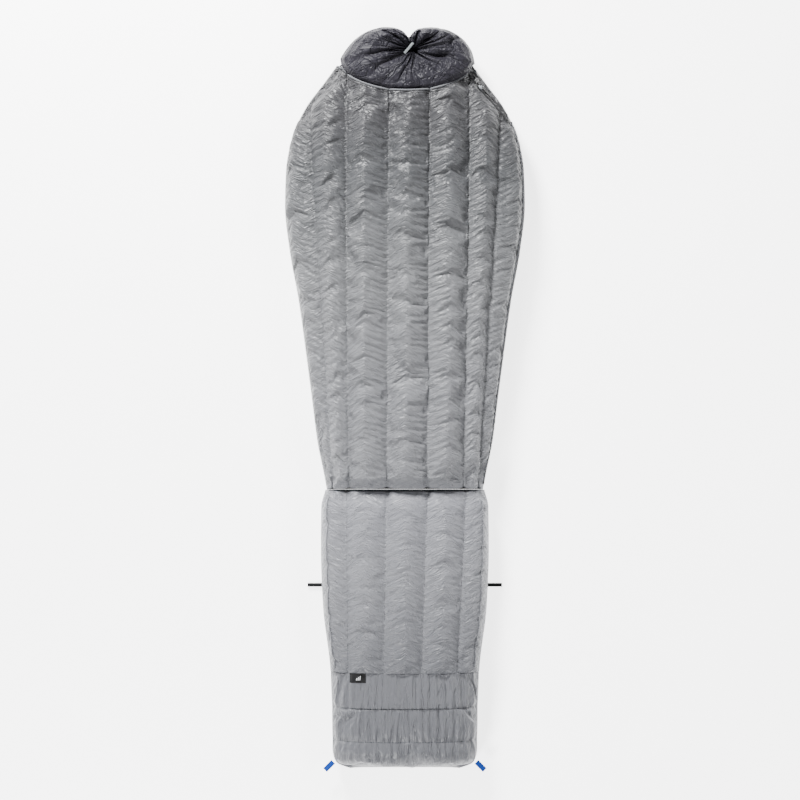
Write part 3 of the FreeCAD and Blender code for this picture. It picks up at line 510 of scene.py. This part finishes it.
# the same cloth with the same painted shade, creased lengthwise below the seams that cross it
foot_ripstop = nylon("nylon_ripstop_grey_foot", SHELL_GREY_PAINTED_SHADE, creases=(80.0, 14.0, 22.0))
foot_cover, foot_grid, foot_held, foot_top, foot_columns = lay_cover(
    "foot_cover", LEG, lambda s: [], (120,), -0.990, lambda x: np.full(len(x), -0.7252), 62,
    foot_ripstop, 0.009, (0.0,), 0.021, 21, 0.0013, (0.05, 0.02), cross=FOOT_SEAMS)
foot_cap = np.where(foot_held.ravel() > 0.5, 0, 0.012)
foot_points = swell(foot_cover, foot_held.ravel(), 0.07, 4.0, foot_cap, frames=15)
foot_points = foot_points.reshape(62, foot_columns, 3)
cloth_map(foot_cover, 62, foot_columns)
refine(foot_cover)
close_ends(foot_cover)
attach(foot_cover, "root")
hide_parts("foot_shell_top", "foot_under_fill", "foot_baffles", "foot_wall",
            "foot_fill_1", "foot_fill_2", "foot_fill_3")

# ---------------------------------------------------------------- draft collar
# Charcoal taffeta over a down-filled ring, drawn shut by a cord, so that it lies in pleats
# round the cinched mouth, with a cleft at the head. A grid of rings round the mouth.

MOUTH = np.array([0.021, 0.929])
CREST = [  # outline of the collar's free side: across, along
    (0.186, 0.893), (0.1776, 0.931), (0.159, 0.9585), (0.131, 0.979), (0.100, 0.989),
    (0.0625, 0.992), (0.034, 0.987), (0.017, 0.974), (0.010, 0.963), (0.002, 0.974),
    (-0.016, 0.986), (-0.039, 0.992), (-0.080, 0.990), (-0.110, 0.978), (-0.137, 0.958),
    (-0.1555, 0.936), (-0.172, 0.908)]


def collar_reach(turn):
    """How far the collar reaches from its mouth in each direction."""
    free = np.array(CREST) - MOUTH
    sill = np.linspace(-0.985, 0.985, 41)
    hem_x = HEM["x"] + sill * (HEM["long"] - 0.0015)
    hem_y = HEM["y"] - (HEM["short"] - 0.0015) * np.sqrt(1 - sill**2)
    round_it = np.concatenate([free, np.stack([hem_x, hem_y], -1) - MOUTH])
    angle = np.arctan2(round_it[:, 1], round_it[:, 0]) % (2 * math.pi)
    order = np.argsort(angle)
    return np.interp(turn % (2 * math.pi), angle[order], np.linalg.norm(round_it, axis=1)[order],
                     period=2 * math.pi)


def pleats(turn, out, seed):
    """Folds that run out from the mouth: narrow and deep near it, fewer further out."""
    height = np.zeros_like(turn)
    for count, depth, near, far, number in ((17, 0.0150, 0.06, 1.25, 1), (37, 0.0075, 0.03, 0.6, 2),
                                            (10, 0.0130, 0.25, 1.45, 3), (71, 0.0022, 0.2, 1.2, 4)):
        field = np.stack([np.cos(turn) * 2.2, np.sin(turn) * 2.2, out * 1.6 + number * 9], -1)
        drift = rumple(field, seed + number, 1.0)
        field = np.stack([np.cos(turn) * 3.1, np.sin(turn) * 3.1, out * 1.1 + number * 5], -1)
        strong = np.clip(0.75 + 1.2 * rumple(field, seed + 10 + number, 1.0), 0.1, 1.4)
        fold = 1 - np.abs(np.sin((turn * count / 2) + 2.6 * drift)) ** 0.7
        fade = ease(out, 0.0, near) * (1 - ease(out, near + 0.15, far))
        height -= depth * strong * fold * fade
    return height


# plain-woven taffeta: nearly black and low in gloss, crinkled all over
charcoal = nylon("taffeta_charcoal", [(0.80, "26252A"), (0.86, "1E1D22"), (1.0, "1B1A1F")],
                 roughness=0.45, grid=0.5, grid_depth=0.0, sheen=0.0, crease=0.0024, gloss=0.10,
                 creases=(38.0, 46.0, 30.0))
around, outward = 420, 96
turn = np.linspace(0, 2 * math.pi, around, endpoint=False)
reach = collar_reach(turn)
rings = []
for k in range(outward):
    share = 0.012 + 0.988 * (k / (outward - 1))
    side = ease(np.sin(turn), -0.75, 0.15)  # 0 where the collar meets the chest, 1 where free
    if share < 0.72:
        out = share / 0.72
        crown = np.interp(out, [0, 0.05, 0.14, 0.35, 0.62, 0.82, 0.94, 1.0],
                          [0.092, 0.098, 0.113, 0.126, 0.130, 0.120, 0.100, 0.066])
        chest = np.interp(out, [0, 0.05, 0.14, 0.4, 0.75, 0.92, 1.0],
                          [0.092, 0.098, 0.113, 0.128, 0.134, 0.131, 0.122])
        z = crown * side + chest * (1 - side)
        flat = np.full(around, out)
        cleft = np.exp(-((turn - 1.85) / 0.10) ** 2) * ease(out, 0.1, 0.45) * 0.034
        crease = np.exp(-((turn - 5.55) / 0.16) ** 2) * (1 - ease(out, 0.12, 0.5)) * 0.012
        z = z - cleft - crease + pleats(turn, flat, 41) * (0.55 + 0.45 * side)
        z = z + 0.004 * rumple(np.stack([np.cos(turn) * out, np.sin(turn) * out,
                                         np.zeros(around)], -1), 61, 0.35)
    else:
        under = (share - 0.72) / 0.28
        out = 1.0 - 0.16 * ease(under, 0.1, 0.6) - 0.70 * ease(under, 0.6, 1.0)
        start = 0.066 * side + 0.122 * (1 - side)
        z = start + (0.003 - start) * ease(under, 0.0, 0.55)
    radius = reach * out
    rings.append(np.stack([MOUTH[0] + radius * np.cos(turn), MOUTH[1] + radius * np.sin(turn),
                           z * np.ones(around)], -1))
collar_grid = np.array(rings)
collar_faces = [tuple(reversed(f)) for f in ring_faces(outward, around)]
collar = mesh_object("draft_collar", collar_grid.reshape(-1, 3), collar_faces, charcoal)
cloth_map(collar, outward, around)
close_ends(collar)
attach(collar, "root")
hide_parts("collar_shell", "collar_lining", "collar_fill_left", "collar_fill_right",
            "collar_fill_front", "collar_fill_back", "collar_fill_base")

# ---------------------------------------------------------------- collar drawcord
# A pale grosgrain tab where the drawcord leaves its channel, and the cord in its channel
# round the mouth. A flat sewn strip and a closed tube.


def tube(path, radius, sides=10, closed=False, flat=1.0):
    """Points and faces of a tube round a path; flat below 1 presses its section."""
    path = np.asarray(path, float)
    tangent = np.roll(path, -1, axis=0) - np.roll(path, 1, axis=0) if closed else np.gradient(
        path, axis=0)
    tangent = unit(tangent)
    wide = unit(np.cross(tangent, [0.0, 0.0, 1.0]) + 1e-9)
    tall = np.cross(wide, tangent)
    points = []
    for place, w, t in zip(path, wide, tall):
        for k in range(sides):
            a = 2 * math.pi * k / sides
            points.append(place + radius * (math.cos(a) * w + flat * math.sin(a) * t))
    faces = []
    for i in range(len(path) if closed else len(path) - 1):
        j = (i + 1) % len(path)
        for k in range(sides):
            n = (k + 1) % sides
            faces.append((i * sides + k, i * sides + n, j * sides + n, j * sides + k))
    if not closed:
        faces.append(tuple(range(sides - 1, -1, -1)))
        faces.append(tuple((len(path) - 1) * sides + k for k in range(sides)))
    return points, faces


def woven(name, colour, rib=0.0011, depth=0.5, roughness=0.75, way="X"):
    """Narrow woven webbing or braid, ribbed across, with a little wear in its tone."""
    made, tree, shader = new_material(name, Sheen_Weight=0.04, Sheen_Roughness=0.5,
                                      Specular_IOR_Level=0.2)
    place = add(tree, "ShaderNodeTexCoord").outputs["Object"]
    ribs = add(tree, "ShaderNodeTexWave", {"Vector": place, "Scale": 0.314 / rib,
                                           "Distortion": 0.6, "Detail": 1.0},
               bands_direction=way)
    yarn = add(tree, "ShaderNodeTexNoise", {"Vector": place, "Scale": 900.0, "Detail": 3.0})
    deep, pale = np.array(srgb(colour)) * 0.72, np.minimum(np.array(srgb(colour)) * 1.35, 1)
    deep[3] = pale[3] = 1
    mixed = math_node(tree, "MULTIPLY_ADD", yarn.outputs[0], 0.6,
                      math_node(tree, "MULTIPLY", ribs.outputs[1], 0.4))
    tree.links.new(ramp(tree, mixed, (0.25, tuple(deep)), (0.75, tuple(pale))),
                   shader.inputs["Base Color"])
    tree.links.new(math_node(tree, "MULTIPLY_ADD", yarn.outputs[0], 0.15, roughness - 0.07),
                   shader.inputs["Roughness"])
    bump = add(tree, "ShaderNodeBump", {"Height": ribs.outputs[1], "Strength": depth,
                                        "Distance": 0.0003})
    tree.links.new(bump.outputs[0], shader.inputs["Normal"])
    return made


grosgrain = woven("grosgrain_pale_grey", "5A5E60")
tab_line = np.array([(-0.001, 0.916, 0.1195), (0.004, 0.922, 0.1215), (0.011, 0.930, 0.1225),
                     (0.017, 0.938, 0.1215), (0.022, 0.944, 0.118)])
fine = np.linspace(0, 4, 25)
tab_line = np.stack([np.interp(fine, range(5), tab_line[:, i]) for i in range(3)], -1)
tab = mesh_object("drawcord_tab", *tube(tab_line, 0.0034, 12, flat=0.22), grosgrain)
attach(tab, "root")
spin = np.linspace(0, 2 * math.pi, 72, endpoint=False)
ring_line = np.stack([MOUTH[0] + 0.034 * np.cos(spin), MOUTH[1] + 0.034 * np.sin(spin),
                      np.full(72, 0.098)], -1)
elastic = woven("braided_elastic_black", "141416", rib=0.0008)
collar_cord = mesh_object("collar_cord", *tube(ring_line, 0.0016, 8, closed=True), elastic)
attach(collar_cord, "root")
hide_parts("collar_drawcord")

# ---------------------------------------------------------------- neck binding
# Folded nylon tape sewn round the raw edge of the neck opening: a bead along the cover's rim.

rim = body_points[-1, :body_top].copy()
rim[:, 2] += 0.0012
step = np.concatenate([[0], np.cumsum(np.linalg.norm(np.diff(rim, axis=0), axis=1))])
even = np.linspace(0, step[-1], 240)
rim = np.stack([np.interp(even, step, rim[:, i]) for i in range(3)], -1)
binding_tape = woven("nylon_binding_grey", "4A4B4E", rib=0.0009, depth=0.25, roughness=0.55)
binding = mesh_object("neck_binding", *tube(rim, 0.0027, 12), binding_tape)
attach(binding, "root")
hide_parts("neck_hem_binding")

# ---------------------------------------------------------------- seam stitches
# Lockstitch in grey polyester thread along every seam, drawn near black so that it also paints the
# shade of the narrow creases at the seams: one short capsule for each stitch, set along the seam
# lines by a node tree.


def repeat_along(name, lines, material, spacing, width, length):
    """Small rounded bodies at even steps along lines, as one plain mesh."""
    points, edges = [], []
    for line in lines:
        first = len(points)
        points += [tuple(p) for p in line]
        edges += [(first + i, first + i + 1) for i in range(len(line) - 1)]
    mesh = bpy.data.meshes.new(name + "_lines")
    mesh.from_pydata(points, edges, [])
    guide = bpy.data.objects.new(name + "_lines", mesh)
    bpy.context.scene.collection.objects.link(guide)
    tree = bpy.data.node_groups.new(name, "GeometryNodeTree")
    tree.interface.new_socket("Lines", in_out="INPUT", socket_type="NodeSocketGeometry")
    sockets = {word: tree.interface.new_socket(word, in_out="INPUT",
                                               socket_type="NodeSocketFloat").identifier
               for word in ("Spacing", "Width", "Length")}
    tree.interface.new_socket("Result", in_out="OUTPUT", socket_type="NodeSocketGeometry")
    given = add(tree, "NodeGroupInput")
    curve = add(tree, "GeometryNodeMeshToCurve", {0: given.outputs["Lines"]})
    even_steps = add(tree, "GeometryNodeResampleCurve", {
        "Curve": curve.outputs[0], "Length": given.outputs["Spacing"]}, mode="LENGTH")
    bead = add(tree, "GeometryNodeMeshUVSphere", {"Segments": 6, "Rings": 4, "Radius": 0.5})
    heading = add(tree, "FunctionNodeAlignRotationToVector", {
        "Vector": add(tree, "GeometryNodeInputTangent").outputs[0]}, axis="Z")
    scale = add(tree, "ShaderNodeCombineXYZ", {
        0: given.outputs["Width"], 1: given.outputs["Width"], 2: given.outputs["Length"]})
    placed = add(tree, "GeometryNodeInstanceOnPoints", {
        "Points": even_steps.outputs[0], "Instance": bead.outputs[0],
        "Rotation": heading.outputs[0], "Scale": scale.outputs[0]})
    solid = add(tree, "GeometryNodeRealizeInstances", {0: placed.outputs[0]})
    coloured = add(tree, "GeometryNodeSetMaterial", {"Geometry": solid.outputs[0],
                                                     "Material": material})
    add(tree, "NodeGroupOutput", {0: coloured.outputs[0]})
    layer = guide.modifiers.new("Repeat", "NODES")
    layer.node_group = tree
    for word, value in (("Spacing", spacing), ("Width", width), ("Length", length)):
        layer[sockets[word]] = value
    result = bpy.data.meshes.new_from_object(guide.evaluated_get(
        bpy.context.evaluated_depsgraph_get()))
    bpy.data.objects.remove(guide)
    result.shade_smooth()
    made = bpy.data.objects.new(name, result)
    bpy.context.scene.collection.objects.link(made)
    return made


def seam_columns(grid, counts):
    """The columns of a cover's grid at which its lengthwise seams lie."""
    return [grid[2:-2, column] for column in np.cumsum(counts)[:-1]]


def lifted(line, up=0.0006):
    line = np.array(line)
    line[:, 2] += up
    return line


stitch_lines = [lifted(line) for line in (
    *seam_columns(body_points, (18, 16, 22, 22, 22, 16, 18)),
    *seam_columns(leg_points, (18, 20, 21, 20, 18)),
    *[foot_points[np.argmin(np.abs(foot_grid[:, foot_top // 2, 1] - seam)), 4:foot_top - 4]
      for seam in FOOT_SEAMS],
    body_points[-3, 4:body_top - 8])]
# near-black thread: the thread's grey darkened into painted shade of the seam creases
thread = woven("polyester_thread_painted_seam_shade", "1E1E20", rib=0.0006, depth=0.3)
stitches = repeat_along("seam_stitches", stitch_lines, thread, 0.0042, 0.0017, 0.0038)
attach(stitches, "root")

# ---------------------------------------------------------------- leg edge piping
# The side seams of the leg, felled over and catching the light: a thin bead of
# ripstop down each side of the leg cover from the knee to the foot box.

piping_lines = []
for column in (9, leg_top - 10):
    piping_lines.append(lifted(leg_points[3:-3, column], 0.0016)[::-1])
for name, line in zip(("leg_piping_left", "leg_piping_right"), piping_lines):
    piping = mesh_object(name, *tube(line, 0.0016, 8), ripstop)
    layer = piping.data.uv_layers.new(name="cloth")
    spots = np.array([piping.data.vertices[l.vertex_index].co.xy for l in piping.data.loops])
    layer.data.foreach_set("uv", spots.ravel())
    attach(piping, "root")

# ---------------------------------------------------------------- side zip
# A coil zip down the bag's edge below the shoulder: a narrow grey tape that follows the
# cover, and the black nylon coil along its middle.

tape_weave = woven("polyester_zip_tape_black", "151517", rib=0.0009, depth=0.3, way="Y")
tape_grey = woven("polyester_zip_tape_grey", "505154", rib=0.0009, depth=0.3, way="Y")
coil_nylon, tree, shader = new_material("nylon_coil_black", Roughness=0.38)
speck = add(tree, "ShaderNodeTexNoise", {"Vector": add(tree, "ShaderNodeTexCoord").outputs[
    "Object"], "Scale": 450.0, "Detail": 2.0})
tree.links.new(ramp(tree, speck.outputs[0], (0.3, srgb("131315")), (0.7, srgb("202023"))),
               shader.inputs["Base Color"])
tree.links.new(math_node(tree, "MULTIPLY_ADD", speck.outputs[0], 0.2, 0.28),
               shader.inputs["Roughness"])
inside = (body_grid[:, body_top - 3, 1] > -0.225) & (body_grid[:, body_top - 3, 1] < 0.742)
band = body_points[inside][:, body_top - 6:body_top]
normal = grid_normals(body_points)[inside][:, body_top - 6:body_top]
normal = unit(normal * [1, 0, 1])
outer, inner = band + 0.0016 * normal, band - 0.0006 * normal
ring = np.concatenate([outer, inner[:, ::-1]], axis=1)
side_tape = mesh_object("side_zip_band", ring.reshape(-1, 3), ring_faces(len(ring), 12), tape_grey)
close_ends(side_tape)
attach(side_tape, "root")
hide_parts("side_zip_tape")
middle = (outer[:, 2] + outer[:, 3]) / 2 + 0.0004 * normal[:, 2]
side_coil = repeat_along("side_zip_coil", [middle], coil_nylon, 0.0021, 0.0052, 0.0016)
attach(side_coil, "root")
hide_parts("side_zip_chain")

# ---------------------------------------------------------------- shoulder zip
# The open end of the zip, in its groove: two woven tapes, their coils, and the cast slider,
# stop and moulded pull, which are the frame's own solids with a cast and a moulded finish.


def plate(low, high, lift=0.0, steps=24):
    """A thin strip between two corners in the zip's frame, a little rounded over its width."""
    points = []
    for x in np.linspace(low[0], high[0], steps):
        for y, z in ((low[1], low[2]), (low[1], high[2]), ((low[1] + high[1]) / 2, high[2] + lift),
                     (high[1], high[2]), (high[1], low[2]), ((low[1] + high[1]) / 2, low[2])):
            points.append((x, y, z))
    return from_zip(points)


tapes = []
for side in (-1, 1):
    near, far = sorted((side * 0.0031, side * 0.0085))
    tapes.append(plate((0.013, near, -0.0047), (0.124, far, -0.0037)))
tape_faces = [tuple(reversed(f)) for f in ring_faces(24, 6)]
both = np.concatenate(tapes)
faces = tape_faces + [tuple(i + 144 for i in f) for f in tape_faces]
zip_tapes = mesh_object("shoulder_zip_tapes", both, faces, tape_weave, smooth=False)
close_ends(zip_tapes)
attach(zip_tapes, "root")
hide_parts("zip_tapes")
coil_lines = [from_zip([(x, side * 0.00195, -0.0042) for x in np.linspace(0.0175, 0.1215, 40)])
              for side in (-1, 1)]
zip_coils = repeat_along("shoulder_zip_coils", coil_lines, coil_nylon, 0.0013, 0.0016, 0.0009)
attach(zip_coils, "root")
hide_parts("zip_teeth")


def hard(name, low, high, metal, rough, grain):
    """Cast metal or moulded plastic: a slightly uneven tone, fine texture and soft wear."""
    made, tree, shader = new_material(name, Metallic=metal)
    place = add(tree, "ShaderNodeTexCoord").outputs["Object"]
    cloud = add(tree, "ShaderNodeTexNoise", {"Vector": place, "Scale": 120.0, "Detail": 3.0})
    sand = add(tree, "ShaderNodeTexNoise", {"Vector": place, "Scale": grain, "Detail": 2.0})
    edge = add(tree, "ShaderNodeNewGeometry").outputs["Pointiness"]
    worn = math_node(tree, "MULTIPLY_ADD", math_node(tree, "GREATER_THAN", edge, 0.56), 0.35,
                     math_node(tree, "MULTIPLY", cloud.outputs[0], 0.65))
    tree.links.new(ramp(tree, worn, (0.2, srgb(low)), (0.8, srgb(high))),
                   shader.inputs["Base Color"])
    tree.links.new(math_node(tree, "MULTIPLY_ADD", cloud.outputs[0], 0.2, rough - 0.1),
                   shader.inputs["Roughness"])
    bump = add(tree, "ShaderNodeBump", {"Height": sand.outputs[0], "Strength": 0.25,
                                        "Distance": 0.00008})
    tree.links.new(bump.outputs[0], shader.inputs["Normal"])
    return made


zinc = hard("cast_zinc_nickel", "7E8286", "B9BCC0", 1.0, 0.34, 2600.0)
acetal = hard("moulded_acetal_black", "08080A", "161618", 0.0, 0.42, 3200.0)
for node, finish in (("zip_slider", zinc), ("zip_top_stop", zinc), ("zip_pull_tab", acetal),
                     ("cord_lock_body", acetal), ("cord_lock_button", acetal)):
    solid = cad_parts[node]
    solid.data.materials.clear()
    solid.data.materials.append(finish)

# ---------------------------------------------------------------- hem cord
# The end of the elastic hem cord that runs through the cord lock and ends in a bead.

cord_path = from_zip([(x, 0.0, 0.0) for x in np.linspace(-0.030, 0.012, 43)])
hem_cord = mesh_object("hem_cord_end", *tube(cord_path, 0.0012, 10), elastic)
bead_points, bead_faces = tube(from_zip([(0.012 + 0.0026 * math.sin(a), 0, 0) for a in
                                         np.linspace(-1.5, 1.5, 12)]), 0.0026, 12)
around_it = np.repeat(np.cos(np.linspace(-1.5, 1.5, 12)), 12)[:, None]
centre = np.repeat(from_zip([(0.012 + 0.0026 * math.sin(a), 0, 0) for a in
                             np.linspace(-1.5, 1.5, 12)]), 12, axis=0)
bead_points = centre + (np.array(bead_points) - centre) * around_it
bead = mesh_object("hem_cord_bead", bead_points, bead_faces, acetal)
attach(bead, "root")
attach(hem_cord, "root")
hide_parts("hem_cord")

# ---------------------------------------------------------------- webbing
# Blue hanging loops at the foot and black elastic mat straps, each a strip of webbing folded
# back on itself and sewn, as one swept strip with a rounded fold and closed ends.


def folded_webbing(name, root, heading, long, wide, thick, material, body, node):
    """root is the middle of the strip's sewn end, heading its direction on the ground."""
    reach, gap = long - 1.5 * thick, 0.5 * thick + thick / 2
    line = [(x, -gap) for x in np.linspace(0, reach, 16)]
    line += [(reach + gap * math.cos(a), gap * math.sin(a)) for a in
             np.linspace(-math.pi / 2, math.pi / 2, 9)[1:-1]]
    line += [(x, gap) for x in np.linspace(reach, 0, 16)]
    line = np.array(line)
    way = unit(np.gradient(line, axis=0))
    off = np.stack([-way[:, 1], way[:, 0]], -1)
    section = [(-wide / 2, -0.7), (-wide / 2 + 0.0006, -1), (0, -1), (wide / 2 - 0.0006, -1),
               (wide / 2, -0.7), (wide / 2, 0.7), (wide / 2 - 0.0006, 1), (0, 1),
               (-wide / 2 + 0.0006, 1), (-wide / 2, 0.7)]
    ahead = np.array([heading[0], heading[1], 0.0])
    beside = np.array([-heading[1], heading[0], 0.0])
    points = []
    for place, o in zip(line, off):
        for across, level in section:
            flat = place + o * level * thick / 2
            points.append(np.array(root) + ahead * flat[0] + beside * across
                          + np.array([0, 0, flat[1]]))
    count = len(section)
    strip = mesh_object(name, points, ring_faces(len(line), count), material)
    close_ends(strip)
    fix = bmesh.new()
    fix.from_mesh(strip.data)
    bmesh.ops.recalc_face_normals(fix, faces=fix.faces)
    fix.to_mesh(strip.data)
    fix.free()
    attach(strip, body)
    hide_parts(node)
    return strip


blue = woven("grosgrain_webbing_blue", "03307E", rib=0.0013)
black = woven("elastic_webbing_black", "0A0A0B", rib=0.0012)
lean = math.sqrt(0.5)
for side, sign in (("left", -1), ("right", 1)):
    folded_webbing(f"foot_loop_{side}", (sign * 0.192, -0.9695, 0.03595), (sign * lean, -lean),
                   0.031, 0.0138, 0.0012, blue, f"hang_loop_{side}", f"hang_loop_{side}")
    folded_webbing(f"mat_strap_{side}", (sign * 0.206, -0.498, 0.00225), (sign, 0.0),
                   0.056, 0.0098, 0.0012, black, f"pad_strap_{side}", f"pad_strap_{side}")

# ---------------------------------------------------------------- woven label
# A black damask label sewn over the seam at the ankle, lying on the cover, with a plain
# mark of three rising strokes woven in white.

bpy.context.view_layer.update()
graph = bpy.context.evaluated_depsgraph_get()
trees = [BVHTree.FromObject(o, graph) for o in (leg_cover, foot_cover)]


def cover_top(x, y):
    """Height of the leg and foot covers under a point."""
    hits = [t.ray_cast(Vector((x, y, 0.5)), Vector((0, 0, -1)))[0] for t in trees]
    return max([h.z for h in hits if h] or [0.12])


columns, rows = 27, 17
level = np.array([[cover_top(x, y) for x in np.linspace(-0.1465, -0.1035, columns)]
                  for y in np.linspace(-0.7495, -0.7245, rows)])
for _ in range(6):
    padded_level = np.pad(level, 1, mode="edge")
    level = np.maximum(level, (padded_level[:-2, 1:-1] + padded_level[2:, 1:-1]
                               + padded_level[1:-1, :-2] + padded_level[1:-1, 2:]) / 4)


def on_label(u, v, lift):
    """A point on the label; u and v run from 0 to 1 over its width and its height."""
    a, b = u * (columns - 1), v * (rows - 1)
    i, j = min(int(a), columns - 2), min(int(b), rows - 2)
    fa, fb = a - i, b - j
    z = ((level[j, i] * (1 - fa) + level[j, i + 1] * fa) * (1 - fb)
         + (level[j + 1, i] * (1 - fa) + level[j + 1, i + 1] * fa) * fb)
    return (-0.1465 + 0.043 * u, -0.7495 + 0.025 * v, z + lift)


def patch(name, outline, lift, thick, material, steps=(26, 16)):
    """A thin sheet on the label's surface between four corners given in u and v."""
    nu, nv = steps
    points, faces = [], []
    for layer_lift in (lift, lift + thick):
        for j in range(nv + 1):
            for i in range(nu + 1):
                u, v = i / nu, j / nv
                low = np.array(outline[0]) * (1 - u) + np.array(outline[1]) * u
                high = np.array(outline[3]) * (1 - u) + np.array(outline[2]) * u
                points.append(on_label(*np.clip(low * (1 - v) + high * v, 0, 1), layer_lift))
    size = (nu + 1) * (nv + 1)
    for j in range(nv):
        for i in range(nu):
            a = j * (nu + 1) + i
            quad = (a, a + 1, a + nu + 2, a + nu + 1)
            faces += [tuple(reversed(quad)), tuple(k + size for k in quad)]
    rim_line = ([i for i in range(nu)] + [nu + j * (nu + 1) for j in range(nv)]
                + [size - 1 - i for i in range(nu)] + [(nv - j) * (nu + 1) for j in range(nv)])
    for a, b in zip(rim_line, rim_line[1:] + rim_line[:1]):
        faces.append((a, b, b + size, a + size))
    return mesh_object(name, points, faces, material, smooth=False)


damask = woven("damask_label_black", "09090A", rib=0.0007, depth=0.3)
white_thread = woven("damask_thread_white", "C9C9CC", rib=0.0007, depth=0.3)
label = patch("label", [(0, 0), (1, 0), (1, 1), (0, 1)], 0.0003, 0.0007, damask)
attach(label, "root")
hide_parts("woven_label")
for number, (u, tall) in enumerate(((0.40, 0.22), (0.50, 0.34), (0.60, 0.46)), start=1):
    stroke = patch(f"label_stroke_{number}", [(u, 0.28), (u + 0.045, 0.28),
                                              (u + 0.085, 0.28 + tall), (u + 0.04, 0.28 + tall)],
                   0.0010, 0.0002, white_thread, steps=(2, 6))
    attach(stroke, "root")

# ---------------------------------------------------------------- studio
# A plain pale floor that gives off some light of its own, three soft lamps, of which the one
# at the head is the strongest, and a camera straight over the bag.

floor_finish, tree, shader = new_material("pale_studio_floor", Roughness=0.9)
grain = add(tree, "ShaderNodeTexNoise", {"Vector": add(tree, "ShaderNodeTexCoord").outputs[
    "Object"], "Scale": 3.0})
tree.links.new(ramp(tree, grain.outputs[0], (0.3, srgb("FAFAFA")), (0.7, srgb("FCFCFC"))),
               shader.inputs["Base Color"])
shader.inputs["Emission Color"].default_value = srgb("FFFFFF")
shader.inputs["Emission Strength"].default_value = 3.0
floor = mesh_object("floor", [(-6, -6, -0.002), (6, -6, -0.002), (6, 6, -0.002), (-6, 6, -0.002)],
                    [(0, 1, 2, 3)], floor_finish, smooth=False)


def lamp(name, place, aim, size, power):
    light = bpy.data.lights.new(name, "AREA")
    light.shape, light.size, light.energy = "DISK", size, power
    made = bpy.data.objects.new(name, light)
    bpy.context.scene.collection.objects.link(made)
    made.location = place
    made.rotation_euler = (Vector(aim) - Vector(place)).to_track_quat("-Z", "Y").to_euler()


lamp("key_softbox", (-1.2, 3.1, 1.9), (0, 0.0, 0), 1.0, 640)
lamp("foot_softbox", (-1.6, -3.0, 2.2), (0, -0.4, 0), 1.2, 230)
lamp("side_softbox", (3.0, -0.8, 2.6), (0, -0.2, 0), 1.4, 120)
world = bpy.data.worlds.new("studio")
world.use_nodes = True
world.node_tree.nodes["Background"].inputs[0].default_value = srgb("FFFFFF")
world.node_tree.nodes["Background"].inputs[1].default_value = 0.30
bpy.context.scene.world = world
eye = bpy.data.cameras.new("camera")
eye.lens, eye.sensor_width = 100, 36
camera = bpy.data.objects.new("camera", eye)
camera.location = (-0.013, 0.0, 5.99)
bpy.context.scene.collection.objects.link(camera)
bpy.context.scene.camera = camera
